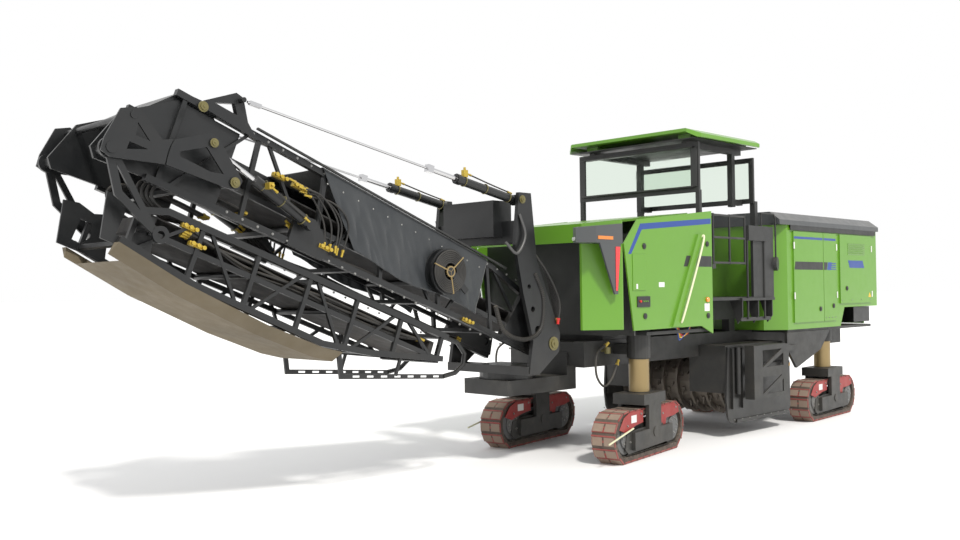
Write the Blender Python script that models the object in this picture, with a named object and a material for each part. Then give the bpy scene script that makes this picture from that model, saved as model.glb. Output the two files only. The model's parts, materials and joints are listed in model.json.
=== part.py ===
"""A two-metre front-loading cold planer: a milling machine on four crawler legs, parked with its
discharge conveyor folded.

Frame: metres, +Z up, the machine faces -Y and its left side is +X. The ground is Z = 0, and the
origin lies under the middle of the parked machine's box. Each moving piece hangs from an empty
that sits on its joint's axis.
"""

import math

import bmesh
import bpy
from mathutils import Euler, Matrix, Vector

# ---------------------------------------------------------------- driving dimensions
SEAT = 0.0003  # gap between pieces that touch
SHEET = 0.008  # folded panels
CLEAR = 0.012  # running gap beside a moving piece
MID_SHIFT = 0.1744  # moves the design's Y = 0, the front legs' line, off the box's middle

HALF_WIDTH = 1.25  # to the outer skin
FRAME_TOP = 1.45
DECK_TOP = 3.1

# box ladder on each side
LADDER_SPAN = (2.21, 3.12)
LADDER_BOTTOM = 0.52
LADDER_TOP = 1.27

# legs and crawlers
LEG_X = 0.93
FRONT_LEG_Y = 0.0
REAR_LEG_Y = 4.95
FRONT_STEER = math.radians(9.5)
REAR_STEER = math.radians(4)
LEG_RADIUS = 0.125
LEG_SLEEVE_RADIUS = 0.15
LEG_SLEEVE_BOTTOM = 1.22
LEG_SLEEVE_TOP = 2.05
YOKE_TOP = 0.79
YOKE_PLATE = 0.05
TRACK_WIDTH = 0.3
TRACK_HEIGHT = 0.62
TRACK_LENGTH = 1.94
TRACK_CONTACT = 1.5
TRACK_BAND = 0.075
WHEEL_FIT = 0.981
SHOE_PITCH = 0.16
SHOE_GAP = 0.03
SHOE_DEPTH = 0.028

# milling drum
DRUM_Y = 2.66
DRUM_Z = 0.72
DRUM_RADIUS = 0.5
DRUM_BODY_RADIUS = 0.4
DRUM_LENGTH = 2.0
HOUSING_FRONT = 1.86
HOUSING_REAR = 3.46
HOUSING_HALF = 1.035
HOUSING_TOP = 1.28
HOUSING_WALL = 0.02
SIDE_PLATE = 0.03
SIDE_PLATE_BOTTOM = 0.2

# front body
FRONT_Y = -1.1
FRONT_HALF = 0.93
MOUTH_TOP = 2.64
SHOULDER_Y = -0.72
PANEL_REAR = 1.22
PANEL_BOTTOM = 1.58
DECK_FRONT_TOP = 2.86
CAP_BOTTOM = 2.62
CAP_TOP = 2.84
PLATFORM_FLOOR = 1.95
FLOOR_BEAM_BOTTOM = 1.62
GATE_BOTTOM = 2.4

# rear body
REAR_FRONT = 3.27
REAR_BACK = 6.38
REAR_BOTTOM = 1.45
HOOD_BOTTOM = 3.0
HOOD_TOP = 3.19
REAR_CORNER = 0.26
DOOR_THICK = 0.022
DOOR_TOP = 2.91
DOUBLE_DOOR = (3.44, 4.86)
DOUBLE_DOOR_BOTTOM = 1.55
SINGLE_DOOR = (4.98, 6.15)
SINGLE_DOOR_BOTTOM = 1.81
DOOR_GAP = 0.012

# canopy
ROOF_FRONT = 1.05
ROOF_BACK = 2.85
ROOF_HALF = 1.14
ROOF_TOP = 4.22
ROOF_BOTTOM = 4.1
SCREEN_Y = 1.28
SCREEN_HALF = 1.03
SCREEN_BOTTOM = 3.38
SCREEN_TOP = 4.06
REAR_SCREEN_Y = 2.7
SCREEN_BAR = 0.07
CANOPY_POST = 0.08

# conveyor: U runs along the boom from its foot, V square to it
SLEW_Y = -1.42
TURNTABLE_BOTTOM = 1.02
BOOM_FOOT_Y = -1.35
BOOM_FOOT_Z = 1.45
BOOM_TILT = math.radians(21)
BOOM_START = 0.28
BOOM_END = 5.2
BOOM_BAYS = 6
BOOM_HALF = 0.5
CHORD_SIZE = 0.06
CHORD_V = -0.26
RAIL_V = 0.55
FOOT_PIN = 0.05
TARP_THICK = 0.008
BELT_LOW = 0.04
ROLLER = 0.03
TARP_LOW = -0.06
TARP_SPAN = (1.2, 3.55)
REEL_PLACE = (1.82, 0.2)
REEL_RADIUS = 0.25
HEAD_X = 0.455
HEAD_PLATE = 0.03
FOLD_U = 5.62
FOLD_V = -0.213
FOLD_PIN = 0.045
TUBE_U = 5.545
TUBE_V = 0.12
FRONT_START = 1.45
FRONT_TOP_V = -0.45
FRONT_HALF_WIDTH = 0.5
COVER_HALF = 0.45
COVER_EDGE = 0.58
COVER_THICK = 0.012
ARM_X = 0.61
ARM_PLATE = 0.025
ARM_EYE = (5.075, -0.668)
ARM_TIP = (4.965, -0.697)
PORTAL_X = 0.64
PORTAL_PLATE = 0.05
PIN_X = 0.567
LIFT_BASE_Y = -1.86
LIFT_BASE_Z = 3.12
LIFT_EYE_Y = -3.1
LIFT_SPARE = 0.31
LIFT_BARREL = 0.05
LIFT_ROD = 0.026
ROPE_U = 4.64
ROPE_V = 0.757
ROPE_PIN = 0.024
ROPE_GAP = 0.05
PLATE_X = 0.655
CRANK_PLATE = 0.02
CRANK_ROD = 0.035
CRANK_PIN = (4.51, -0.012)
CRANK_EYE = (4.815, 0.225)
CRANK_REACH = 0.648
CYLINDER_X = 0.6
BARREL_EYE = 0.03
EYE_NECK = 0.045
FOLD_BASE = (3.6, -0.018)
FOLD_BARREL = 0.71
FOLD_BARREL_RADIUS = 0.052
FOLD_ROD = 0.022

PAINT = {
    "lime": ((0.29, 0.62, 0.06), 0.35, 0.0),
    "charcoal": ((0.045, 0.045, 0.042), 0.5, 0.0),
    "black": ((0.012, 0.012, 0.013), 0.45, 0.0),
    "red": ((0.42, 0.03, 0.03), 0.5, 0.0),
    "rubber": ((0.02, 0.02, 0.02), 0.85, 0.0),
    "steel": ((0.55, 0.55, 0.56), 0.3, 1.0),
    "bronze": ((0.3, 0.2, 0.11), 0.4, 0.6),
    "tan": ((0.42, 0.33, 0.2), 0.7, 0.0),
    "glass": ((0.7, 0.8, 0.7), 0.1, 0.0),
}


# ---------------------------------------------------------------- scene and helpers
def clear_scene():
    for obj in list(bpy.data.objects):
        bpy.data.objects.remove(obj)


def new_collection(name):
    made = bpy.data.collections.new(name)
    bpy.context.scene.collection.children.link(made)
    return made


def new_material(name):
    colour, roughness, metallic = PAINT[name]
    material = bpy.data.materials.new(name)
    material.use_nodes = True
    shader = material.node_tree.nodes["Principled BSDF"]
    shader.inputs["Base Color"].default_value = (*colour, 1)
    shader.inputs["Roughness"].default_value = roughness
    shader.inputs["Metallic"].default_value = metallic
    return material


clear_scene()
PLANER = new_collection("cold_planer")
MATERIALS = {name: new_material(name) for name in PAINT}


def link(name, data):
    obj = bpy.data.objects.new(name, data)
    PLANER.objects.link(obj)
    return obj


def axis_empty(name, place, parent=None, rotation=(0, 0, 0)):
    obj = link(name, None)
    obj.parent = parent
    obj.location = place
    obj.rotation_euler = rotation
    return obj


def mesh_object(name, build):
    """An object whose mesh the function build fills in a bmesh."""
    shape = bmesh.new()
    build(shape)
    mesh = bpy.data.meshes.new(name)
    shape.to_mesh(mesh)
    shape.free()
    return link(name, mesh)


def box(low, high):
    """A box between two corners."""
    low, high = Vector(low), Vector(high)

    def build(shape):
        size = Matrix.Diagonal((*(high - low), 1))
        bmesh.ops.create_cube(shape, size=1, matrix=Matrix.Translation((low + high) / 2) @ size)

    return mesh_object("shape", build)


def rod(start, end, radius, sides=12):
    """A round bar between two points."""
    start, end = Vector(start), Vector(end)
    along = end - start
    turn = along.to_track_quat("Z", "Y").to_matrix().to_4x4()

    def build(shape):
        bmesh.ops.create_cone(
            shape,
            cap_ends=True,
            segments=sides,
            radius1=radius,
            radius2=radius,
            depth=along.length,
            matrix=Matrix.Translation((start + end) / 2) @ turn,
        )

    return mesh_object("shape", build)


def beam(start, end, width, depth, up=(0, 0, 1)):
    """A square bar between two points: width lies square to the direction up."""
    start, end = Vector(start), Vector(end)
    along = (end - start).normalized()
    side = along.cross(Vector(up)).normalized()
    top = side.cross(along)
    frame = Matrix((side, along, top)).transposed().to_4x4()
    size = Matrix.Diagonal((width, (end - start).length, depth, 1))

    def build(shape):
        bmesh.ops.create_cube(shape, size=1, matrix=Matrix.Translation((start + end) / 2) @ frame @ size)

    return mesh_object("shape", build)


def real_mesh(obj):
    """Turns a curve object into a mesh object with its caps welded on."""
    bpy.context.view_layer.update()
    graph = bpy.context.evaluated_depsgraph_get()
    mesh = bpy.data.meshes.new_from_object(obj.evaluated_get(graph))
    shape = bmesh.new()
    shape.from_mesh(mesh)
    bmesh.ops.remove_doubles(shape, verts=shape.verts, dist=1e-5)
    shape.to_mesh(mesh)
    shape.free()
    made = link("shape", mesh)
    made.matrix_world = obj.matrix_world.copy()
    bpy.data.objects.remove(obj)
    return made


def outline(points, low, high, across="X", holes=()):
    """A flat plate from an outline, as thick as from low to high along the axis across.

    The outline's points are (Y, Z) across X, (X, Z) across Y and (X, Y) across Z.
    """
    curve = bpy.data.curves.new("shape", "CURVE")
    curve.dimensions = "2D"
    curve.fill_mode = "BOTH"
    curve.extrude = (high - low) / 2
    for loop in (points, *holes):
        spline = curve.splines.new("POLY")
        spline.points.add(len(loop) - 1)
        for knot, (a, b) in zip(spline.points, loop):
            knot.co = (a, b, 0, 1)
        spline.use_cyclic_u = True
    obj = link("shape", curve)
    middle = (low + high) / 2
    if across == "X":
        obj.matrix_world = Matrix(((0, 0, 1, middle), (1, 0, 0, 0), (0, 1, 0, 0), (0, 0, 0, 1)))
    elif across == "Y":
        obj.matrix_world = Matrix(((1, 0, 0, 0), (0, 0, -1, middle), (0, 1, 0, 0), (0, 0, 0, 1)))
    else:
        obj.matrix_world = Matrix.Translation((0, 0, middle))
    return real_mesh(obj)


def tube(points, radius, resolution=2):
    """A bent pipe through the points, as one closed mesh."""
    curve = bpy.data.curves.new("shape", "CURVE")
    curve.dimensions = "3D"
    curve.bevel_depth = radius
    curve.bevel_resolution = resolution
    curve.use_fill_caps = True
    spline = curve.splines.new("POLY")
    spline.points.add(len(points) - 1)
    for knot, point in zip(spline.points, points):
        knot.co = (*point, 1)
    return real_mesh(link("shape", curve))


def arc(centre, radius, start, end, steps=6):
    """Points on an arc, angles in degrees."""
    turns = [math.radians(start + (end - start) * k / steps) for k in range(steps + 1)]
    return [(centre[0] + radius * math.cos(t), centre[1] + radius * math.sin(t)) for t in turns]


def strip(points, width, low, high):
    """A flat bar along a bent line of (Y, Z) points, with mitred corners and square ends."""
    path = [Vector(point) for point in points]
    above, below = [], []
    for k, point in enumerate(path):
        before = (point - path[k - 1]).normalized() if k else (path[1] - point).normalized()
        after = (path[k + 1] - point).normalized() if k + 1 < len(path) else before
        ahead = (before + after).normalized()
        square = Vector((-ahead.y, ahead.x))
        reach = width / 2 / max(0.3, ahead.dot(before))
        above.append(tuple(point + square * reach))
        below.append(tuple(point - square * reach))
    return outline([*above, *reversed(below)], low, high)


def combine(target, shapes, operation):
    """Joins the shapes to the target, or cuts them from it, and uses them up."""
    helpers = bpy.data.collections.new("helpers")
    bpy.context.scene.collection.children.link(helpers)
    for shape in shapes:
        PLANER.objects.unlink(shape)
        helpers.objects.link(shape)
    modifier = target.modifiers.new(operation.lower(), "BOOLEAN")
    modifier.operation = operation
    modifier.solver = "EXACT"
    modifier.operand_type = "COLLECTION"
    modifier.collection = helpers
    bpy.context.view_layer.update()
    graph = bpy.context.evaluated_depsgraph_get()
    mesh = bpy.data.meshes.new_from_object(target.evaluated_get(graph))
    target.modifiers.clear()
    target.data = mesh
    for shape in shapes:
        bpy.data.objects.remove(shape)
    bpy.data.collections.remove(helpers)


def piece(name, material, parent, shapes, cuts=()):
    """One named solid from overlapping shapes, given in its parent's frame, with the cuts taken out."""
    target, rest = shapes[0], shapes[1:]
    if rest:
        combine(target, rest, "UNION")
    if cuts:
        combine(target, list(cuts), "DIFFERENCE")
    target.data.transform(target.matrix_world)
    target.matrix_world = Matrix.Identity(4)
    target.name = target.data.name = name
    target.data.materials.clear()
    target.data.materials.append(MATERIALS[material])
    target.data.shade_smooth()
    target.data.set_sharp_from_angle(angle=math.radians(30))
    target.parent = parent
    return target


def side_name(side):
    return "left" if side > 0 else "right"


def bore_radius(radius, sides):
    """The radius of a faceted hole that a round bar of this radius fills, with a seat's gap all round."""
    return (radius + SEAT) / math.cos(math.pi / sides)


def along(u, v):
    """(Y, Z) in the boom's frame of a place along it and square to it."""
    return (-u, v)


# ---------------------------------------------------------------- chassis
def main_frame(root):
    shapes = []
    for side in (-1, 1):
        low, high = sorted((side * 0.46, side * 0.62))
        shapes.append(box((low, -0.7, 1.12), (high, HOUSING_FRONT - 0.02, FRAME_TOP - 0.01)))
        shapes.append(box((low, HOUSING_REAR + 0.02, 1.12), (high, REAR_BACK - 0.1, FRAME_TOP - 0.01)))
        shapes.append(box((low, HOUSING_FRONT - 0.2, HOUSING_TOP + SEAT), (high, HOUSING_REAR + 0.2, FRAME_TOP - 0.01)))
        for y in (1.35, 2.7):
            shapes.append(box((low + 0.02, y, FRAME_TOP - 0.05), (high - 0.02, y + 0.15, FLOOR_BEAM_BOTTOM - SEAT)))
    shapes.append(box((-0.6, -0.7, 1.14), (0.6, -0.5, FRAME_TOP - 0.02)))
    shapes.append(box((-0.36, -1.8, 0.84), (0.36, -0.6, TURNTABLE_BOTTOM - SEAT)))
    shapes.append(box((-0.36, -0.72, 0.84), (0.36, -0.55, 1.3)))
    skin = HALF_WIDTH - 0.02
    shapes.append(box((-skin, -0.5, FRAME_TOP + 0.07), (skin, -0.47, 2.75)))
    shapes.append(box((-1.0, -0.5, FRAME_TOP + 0.06), (1.0, -0.15, FRAME_TOP + 0.1)))
    shapes.append(box((-0.6, REAR_LEG_Y - 0.15, 1.14), (0.6, REAR_LEG_Y + 0.15, FRAME_TOP - 0.02)))
    shapes.append(box((-1.2, REAR_FRONT + 0.05, FRAME_TOP - 0.04), (1.2, REAR_BACK - 0.2, REAR_BOTTOM - SEAT)))
    shapes.append(box((-1.2, -0.2, FRAME_TOP + 0.06), (1.2, PANEL_REAR, FRAME_TOP + 0.1)))
    shapes.append(box((-0.6, -0.3, FRAME_TOP - 0.08), (0.6, 0.3, FRAME_TOP + 0.08)))
    cuts = []
    for side in (-1, 1):
        for leg_y in (FRONT_LEG_Y, REAR_LEG_Y):
            middle = (side * LEG_X, leg_y)
            cuts.append(rod((*middle, 1.0), (*middle, 2.0), LEG_SLEEVE_RADIUS + 0.02, 20))
    piece("main_frame", "charcoal", root, shapes, cuts)


def leg_sleeve(root, side, leg_y, name):
    middle = (side * LEG_X, leg_y)
    shapes = [rod((*middle, LEG_SLEEVE_BOTTOM), (*middle, LEG_SLEEVE_TOP), LEG_SLEEVE_RADIUS, 20)]
    low, high = sorted((side * (0.62 + SEAT), side * LEG_X))
    shapes.append(box((low, leg_y - 0.1, 1.26), (high, leg_y + 0.1, FRAME_TOP - 0.06)))
    bore = rod((*middle, LEG_SLEEVE_BOTTOM - 0.1), (*middle, LEG_SLEEVE_TOP - 0.05), bore_radius(LEG_RADIUS, 20), 20)
    piece(f"leg_sleeve_{name}", "charcoal", root, shapes, [bore])


def crawler_outline(grow=0.0):
    """The crawler's side outline: a flat run on the ground and round ends."""
    radius = TRACK_HEIGHT / 2
    half = TRACK_LENGTH / 2 - radius
    flat = TRACK_CONTACT / 2
    front = arc((-half, radius), radius + grow, 90, 215)
    back = arc((half, radius), radius + grow, -35, 90)
    return [*front, (-flat, -grow), (flat, -grow), *back]


def crawler(parent, name):
    """One closed loop whose outline carries the gaps between its shoes."""
    low, high = -TRACK_WIDTH / 2, TRACK_WIDTH / 2
    path = [Vector(point) for point in crawler_outline(-SHOE_DEPTH / 2)]
    gaps = []
    travelled = 0
    for start, end in zip(path, [*path[1:], path[0]]):
        run = end - start
        first = math.ceil(travelled / SHOE_PITCH) * SHOE_PITCH
        while first < travelled + run.length:
            place = start + run * ((first - travelled) / run.length)
            square = Vector((run.y, -run.x)).normalized()
            inner, outer = place - square * SHOE_DEPTH / 2, place + square * SHOE_DEPTH
            gaps.append(strip([tuple(inner), tuple(outer)], SHOE_GAP, low - 0.1, high + 0.1))
            first += SHOE_PITCH
        travelled += run.length
    loop = outline(crawler_outline(), low, high)
    piece(f"track_{name}", "red", parent, [loop], [outline(crawler_outline(-TRACK_BAND), low - 0.1, high + 0.1), *gaps])


def yoke(parent, name):
    """The leg's inner tube, its fork over the crawler and the crawler's frame with its wheels."""
    half = TRACK_LENGTH / 2 - TRACK_HEIGHT / 2
    fork_low = TRACK_WIDTH / 2 + 0.015
    fork_high = fork_low + YOKE_PLATE
    wheel = (TRACK_HEIGHT / 2 - TRACK_BAND) * WHEEL_FIT
    axle_z = TRACK_HEIGHT / 2
    shapes = [
        rod((0, 0, YOKE_TOP - 0.05), (0, 0, LEG_SLEEVE_TOP - 0.12), LEG_RADIUS, 20),
        box((-fork_high, -0.3, YOKE_TOP - 0.13), (fork_high, 0.3, YOKE_TOP)),
        rod((-fork_high - 0.01, 0, axle_z), (fork_high + 0.01, 0, axle_z), 0.06),
        box((-0.11, -half, axle_z - 0.12), (0.11, half, axle_z + 0.12)),
        rod((-0.1, -half, axle_z), (0.1, -half, axle_z), wheel, 20),
        rod((-0.1, half, axle_z), (0.1, half, axle_z), wheel, 20),
    ]
    for side in (-1, 1):
        low, high = sorted((side * fork_low, side * fork_high))
        shapes.append(box((low, -0.17, axle_z - 0.13), (high, 0.17, YOKE_TOP - 0.04)))
        low, high = sorted((side * (fork_low - 0.004), side * (fork_low + 0.05)))
        shapes.append(box((low, -0.55, axle_z - 0.16), (high, 0.5, axle_z + 0.05)))
    piece(f"yoke_{name}", "charcoal", parent, shapes)


def legs(root):
    for end, leg_y, steer in (("front", FRONT_LEG_Y, FRONT_STEER), ("rear", REAR_LEG_Y, REAR_STEER)):
        for side in (1, -1):
            name = f"{end}_{side_name(side)}"
            leg_sleeve(root, side, leg_y, name)
            axis = axis_empty(f"steer_axis_{name}", (side * LEG_X, leg_y, 0), root, (0, 0, steer))
            yoke(axis, name)
            crawler(axis, name)


# ---------------------------------------------------------------- milling unit
def milling_unit(root):
    """The drum under its open-bottomed housing, the scraper behind it and a lifting plate on each side."""
    half = HOUSING_HALF
    shapes = [
        box((-half, HOUSING_FRONT, HOUSING_TOP - HOUSING_WALL), (half, HOUSING_REAR, HOUSING_TOP)),
        box((-half, HOUSING_FRONT, 0.62), (half, HOUSING_FRONT + HOUSING_WALL, HOUSING_TOP)),
    ]
    for side in (-1, 1):
        low, high = sorted((side * (half - HOUSING_WALL), side * half))
        shapes.append(box((low, HOUSING_FRONT, 0.5), (high, HOUSING_REAR, HOUSING_TOP)))
        low, high = sorted((side * (DRUM_LENGTH / 2 + SEAT), side * (half - 0.005)))
        shapes.append(rod((low, DRUM_Y, DRUM_Z), (high, DRUM_Y, DRUM_Z), 0.16, 16))
    window = box((-0.45, HOUSING_FRONT - 0.1, 0.5), (0.45, HOUSING_FRONT + 0.1, 1.2))
    piece("drum_housing", "charcoal", root, shapes, [window])

    drum_axis = axis_empty("drum_axis", (0, DRUM_Y, DRUM_Z), root)
    half_drum = DRUM_LENGTH / 2
    body = rod((-half_drum, 0, 0), (half_drum, 0, 0), DRUM_BODY_RADIUS, 24)
    rings = []
    for k in range(9):
        x = -half_drum + 0.03 + k * (DRUM_LENGTH - 0.06) / 8
        rings.append(rod((x - 0.02, 0, 0), (x + 0.02, 0, 0), DRUM_RADIUS - 0.02, 16))
    piece("milling_drum", "steel", drum_axis, [body, *rings])

    scraper_y = HOUSING_REAR - 0.06
    scraper = axis_empty("scraper_axis", (0, scraper_y, 1.3), root)
    inner = half - HOUSING_WALL - SEAT
    shapes = [
        box((-inner, -0.015, -1.08), (inner, 0.015, -0.16)),
        box((-inner + 0.01, -0.03, -1.09), (inner - 0.01, 0.03, -1.0)),
    ]
    piece("scraper", "charcoal", scraper, shapes)
    for side in (1, -1):
        side_plate(root, side)


def side_plate(root, side):
    """The plate that rides on the ground beside the drum, with its guide bars."""
    axis = axis_empty(f"side_plate_axis_{side_name(side)}", (side * (HOUSING_HALF + SEAT), DRUM_Y, 0), root)
    low, high = sorted((0, side * SIDE_PLATE))
    bottom = SIDE_PLATE_BOTTOM
    points = [
        (-0.84, bottom + 0.34),
        *arc((-0.66, bottom + 0.15), 0.15, 200, 270, 3),
        (0.86, bottom),
        (0.96, bottom + 0.1),
        (0.96, 0.98),
        (-0.3, 0.98),
        (-0.36, 1.26),
        (-0.78, 1.26),
    ]
    inner, outer = sorted((side * (SIDE_PLATE - 0.01), side * (SIDE_PLATE + 0.035)))
    bars = [box((inner, y - 0.02, bottom + 0.2), (outer, y + 0.02, 1.24)) for y in (-0.7, -0.44)]
    middle = side * (SIDE_PLATE + 0.03)
    bars.append(rod((middle, -0.57, bottom + 0.4), (middle, -0.57, 1.25), 0.035))
    shoe_low, shoe_high = sorted((-side * 0.0, side * (SIDE_PLATE + 0.02)))
    bars.append(box((shoe_low + 0.002 * side, -0.6, bottom + 0.002), (shoe_high, 0.84, bottom + 0.05)))
    piece(f"side_plate_{side_name(side)}", "charcoal", axis, [outline(points, low, high), *bars])


# ---------------------------------------------------------------- front body
def front_body(root):
    deck = [
        (FRONT_Y, DECK_FRONT_TOP - 0.03),
        (PANEL_REAR, DECK_TOP - 0.03),
        (PANEL_REAR, DECK_TOP),
        (FRONT_Y, DECK_FRONT_TOP),
    ]
    rear = PANEL_REAR
    plan = [
        (-FRONT_HALF, FRONT_Y),
        (FRONT_HALF, FRONT_Y),
        (HALF_WIDTH - 0.02, SHOULDER_Y),
        (HALF_WIDTH - 0.02, rear),
        (-HALF_WIDTH + 0.02, rear),
        (-HALF_WIDTH + 0.02, SHOULDER_Y),
    ]
    solid = outline(plan, PANEL_BOTTOM + 0.02, 3.4, "Z")
    above = outline(
        [(FRONT_Y - 0.3, DECK_FRONT_TOP - 0.03), (rear + 0.3, DECK_TOP + 0.02), (rear + 0.3, 3.6), (FRONT_Y - 0.3, 3.6)],
        -2,
        2,
    )
    inner_plan = [
        (-FRONT_HALF + 0.02, FRONT_Y + SHEET),
        (FRONT_HALF - 0.02, FRONT_Y + SHEET),
        (HALF_WIDTH - 0.03, SHOULDER_Y + 0.02),
        (HALF_WIDTH + 0.2, SHOULDER_Y + 0.02),
        (HALF_WIDTH + 0.2, rear + 0.1),
        (-HALF_WIDTH - 0.2, rear + 0.1),
        (-HALF_WIDTH - 0.2, SHOULDER_Y + 0.02),
        (-HALF_WIDTH + 0.03, SHOULDER_Y + 0.02),
    ]
    hollow = outline(inner_plan, 1.4, 3.4, "Z")
    mouth = box((-FRONT_HALF + 0.03, FRONT_Y - 0.1, 1.5), (FRONT_HALF - 0.03, FRONT_Y + 0.1, MOUTH_TOP))
    combine(solid, [above], "DIFFERENCE")
    combine(solid, [hollow], "DIFFERENCE")
    top = outline(deck, -FRONT_HALF + 0.05, FRONT_HALF - 0.05)
    piece("front_cowl", "lime", root, [solid, top], [mouth])

    for side in (1, -1):
        low, high = sorted((side * (HALF_WIDTH - 0.02 + SEAT), side * HALF_WIDTH))
        points = [
            (SHOULDER_Y + 0.2, PANEL_BOTTOM),
            (0.95, PANEL_BOTTOM + 0.01),
            (rear, PANEL_BOTTOM - 0.1),
            (rear, DECK_TOP),
            (-0.42, DECK_FRONT_TOP + 0.06),
            (SHOULDER_Y + 0.02, 2.62),
        ]
        rib = outline([(0.25, 1.6), (0.42, 1.6), (0.98, 2.78), (0.86, 2.78)], *sorted((side * HALF_WIDTH - side * 0.01, side * (HALF_WIDTH + 0.03))))
        piece(f"side_panel_{side_name(side)}", "lime", root, [outline(points, low, high), rib])


def lamp_caps(root):
    """The dark shoulder at each front corner: a visor for the lamps and the tapered trim under it."""
    for side in (1, -1):
        inner, outer = Vector((FRONT_HALF, FRONT_Y)), Vector((HALF_WIDTH - 0.02, SHOULDER_Y))
        run = (outer - inner).normalized()
        away = Vector((run.y, -run.x)) * SEAT
        plan = [tuple(inner + away), (1.02, -1.36), (1.12, -1.43), (1.249, -1.22), (1.249, SHOULDER_Y - 0.003), tuple(outer + away)]
        points = [(side * x, y) for x, y in plan]
        visor = outline(points, CAP_BOTTOM, CAP_TOP + 0.3, "Z")
        above = [(-1.9, CAP_TOP - 0.09), (-0.6, CAP_TOP + 0.03), (-0.6, CAP_TOP + 0.6), (-1.9, CAP_TOP + 0.6)]
        combine(visor, [outline(above, -2, 2)], "DIFFERENCE")
        low, high = sorted((side * 1.225, side * 1.247))
        trim = [
            (-1.16, CAP_BOTTOM + 0.02),
            (SHOULDER_Y - 0.035, CAP_BOTTOM + 0.02),
            (SHOULDER_Y - 0.1, 2.02),
            (SHOULDER_Y - 0.16, 2.02),
        ]
        piece(f"lamp_cap_{side_name(side)}", "charcoal", root, [visor, outline(trim, low, high)])


def boarding_rails(side):
    """The lower step, the handrails, the blank sign box and the mirror beside one way up."""
    x = side * (HALF_WIDTH - 0.045)
    low, high = sorted((side * 1.02, side * (HALF_WIDTH - 0.015)))
    step, bottom = PLATFORM_FLOOR - 0.05, 1.58
    shapes = [box((low, 2.0, step), (high, 2.9, step + 0.035))]
    for y in (2.02, 2.45, 2.84):
        bracket = [(side * 1.02, step + 0.01), (side * 1.22, step + 0.01), (side * 1.22, bottom + 0.1), (side * 1.14, bottom)]
        shapes.append(outline(bracket, y, y + 0.02, "Y"))
    shapes.append(beam((side * 1.18, 2.03, bottom + 0.06), (side * 1.18, 2.85, bottom + 0.06), 0.03, 0.05))
    for y in (2.2, 2.66):
        shapes.append(tube([(x, y, bottom + 0.06), (x, y, 2.9)], 0.017, 1))
    shapes.append(box((x - 0.035, 2.19, 2.74), (x + 0.035, 2.72, 2.95)))
    hinge_low, hinge_high = sorted((side * 1.19, side * 1.24))
    shapes.append(box((hinge_low, PANEL_REAR + 0.03, 2.34), (hinge_high, PANEL_REAR + 0.11, GATE_BOTTOM - SEAT)))
    pole = [(x, 2.6, 3.0), (x, 2.6, 3.14), (x, 2.95, 3.14), (x, 3.0, 3.08), (x, 3.0, 2.5)]
    shapes.append(tube([(x, 2.6, 2.9), *pole], 0.014, 1))
    shapes.append(rod((x - 0.04, 3.0, 2.42), (x + 0.02, 3.02, 2.42), 0.1, 18))
    shapes.append(beam((x, 2.6, 2.84), (side * 1.17, 2.6, 2.84), 0.03, 0.03))
    return shapes


def platform(root):
    """The operator's floor with its front wall, the console between the sides and the rails."""
    wall = PANEL_REAR + 0.02
    floor = [
        box((-1.2, wall, PLATFORM_FLOOR - 0.04), (1.2, REAR_FRONT - 0.32, PLATFORM_FLOOR)),
        box((-1.2, wall, PLATFORM_FLOOR - 0.04), (1.2, wall + 0.03, DECK_TOP - 0.02)),
        box((-0.62, wall + 0.01, FLOOR_BEAM_BOTTOM), (-0.5, REAR_FRONT - 0.34, PLATFORM_FLOOR - 0.02)),
        box((0.5, wall + 0.01, FLOOR_BEAM_BOTTOM), (0.62, REAR_FRONT - 0.34, PLATFORM_FLOOR - 0.02)),
    ]
    for side in (-1, 1):
        low, high = sorted((side * 1.16, side * 1.2))
        floor.append(box((low, REAR_FRONT - 0.9, PLATFORM_FLOOR - 0.02), (high, REAR_FRONT - 0.33, 2.95)))
        floor += boarding_rails(side)
    piece("platform", "charcoal", root, floor)

    console = [
        box((-0.95, wall + 0.04, PLATFORM_FLOOR + SEAT), (0.95, wall + 0.3, 2.85)),
        outline([(wall + 0.04, 2.8), (wall + 0.42, 2.8), (wall + 0.42, 2.92), (wall + 0.04, 3.05)], -0.95, 0.95),
    ]
    piece("console", "charcoal", root, console)


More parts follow.
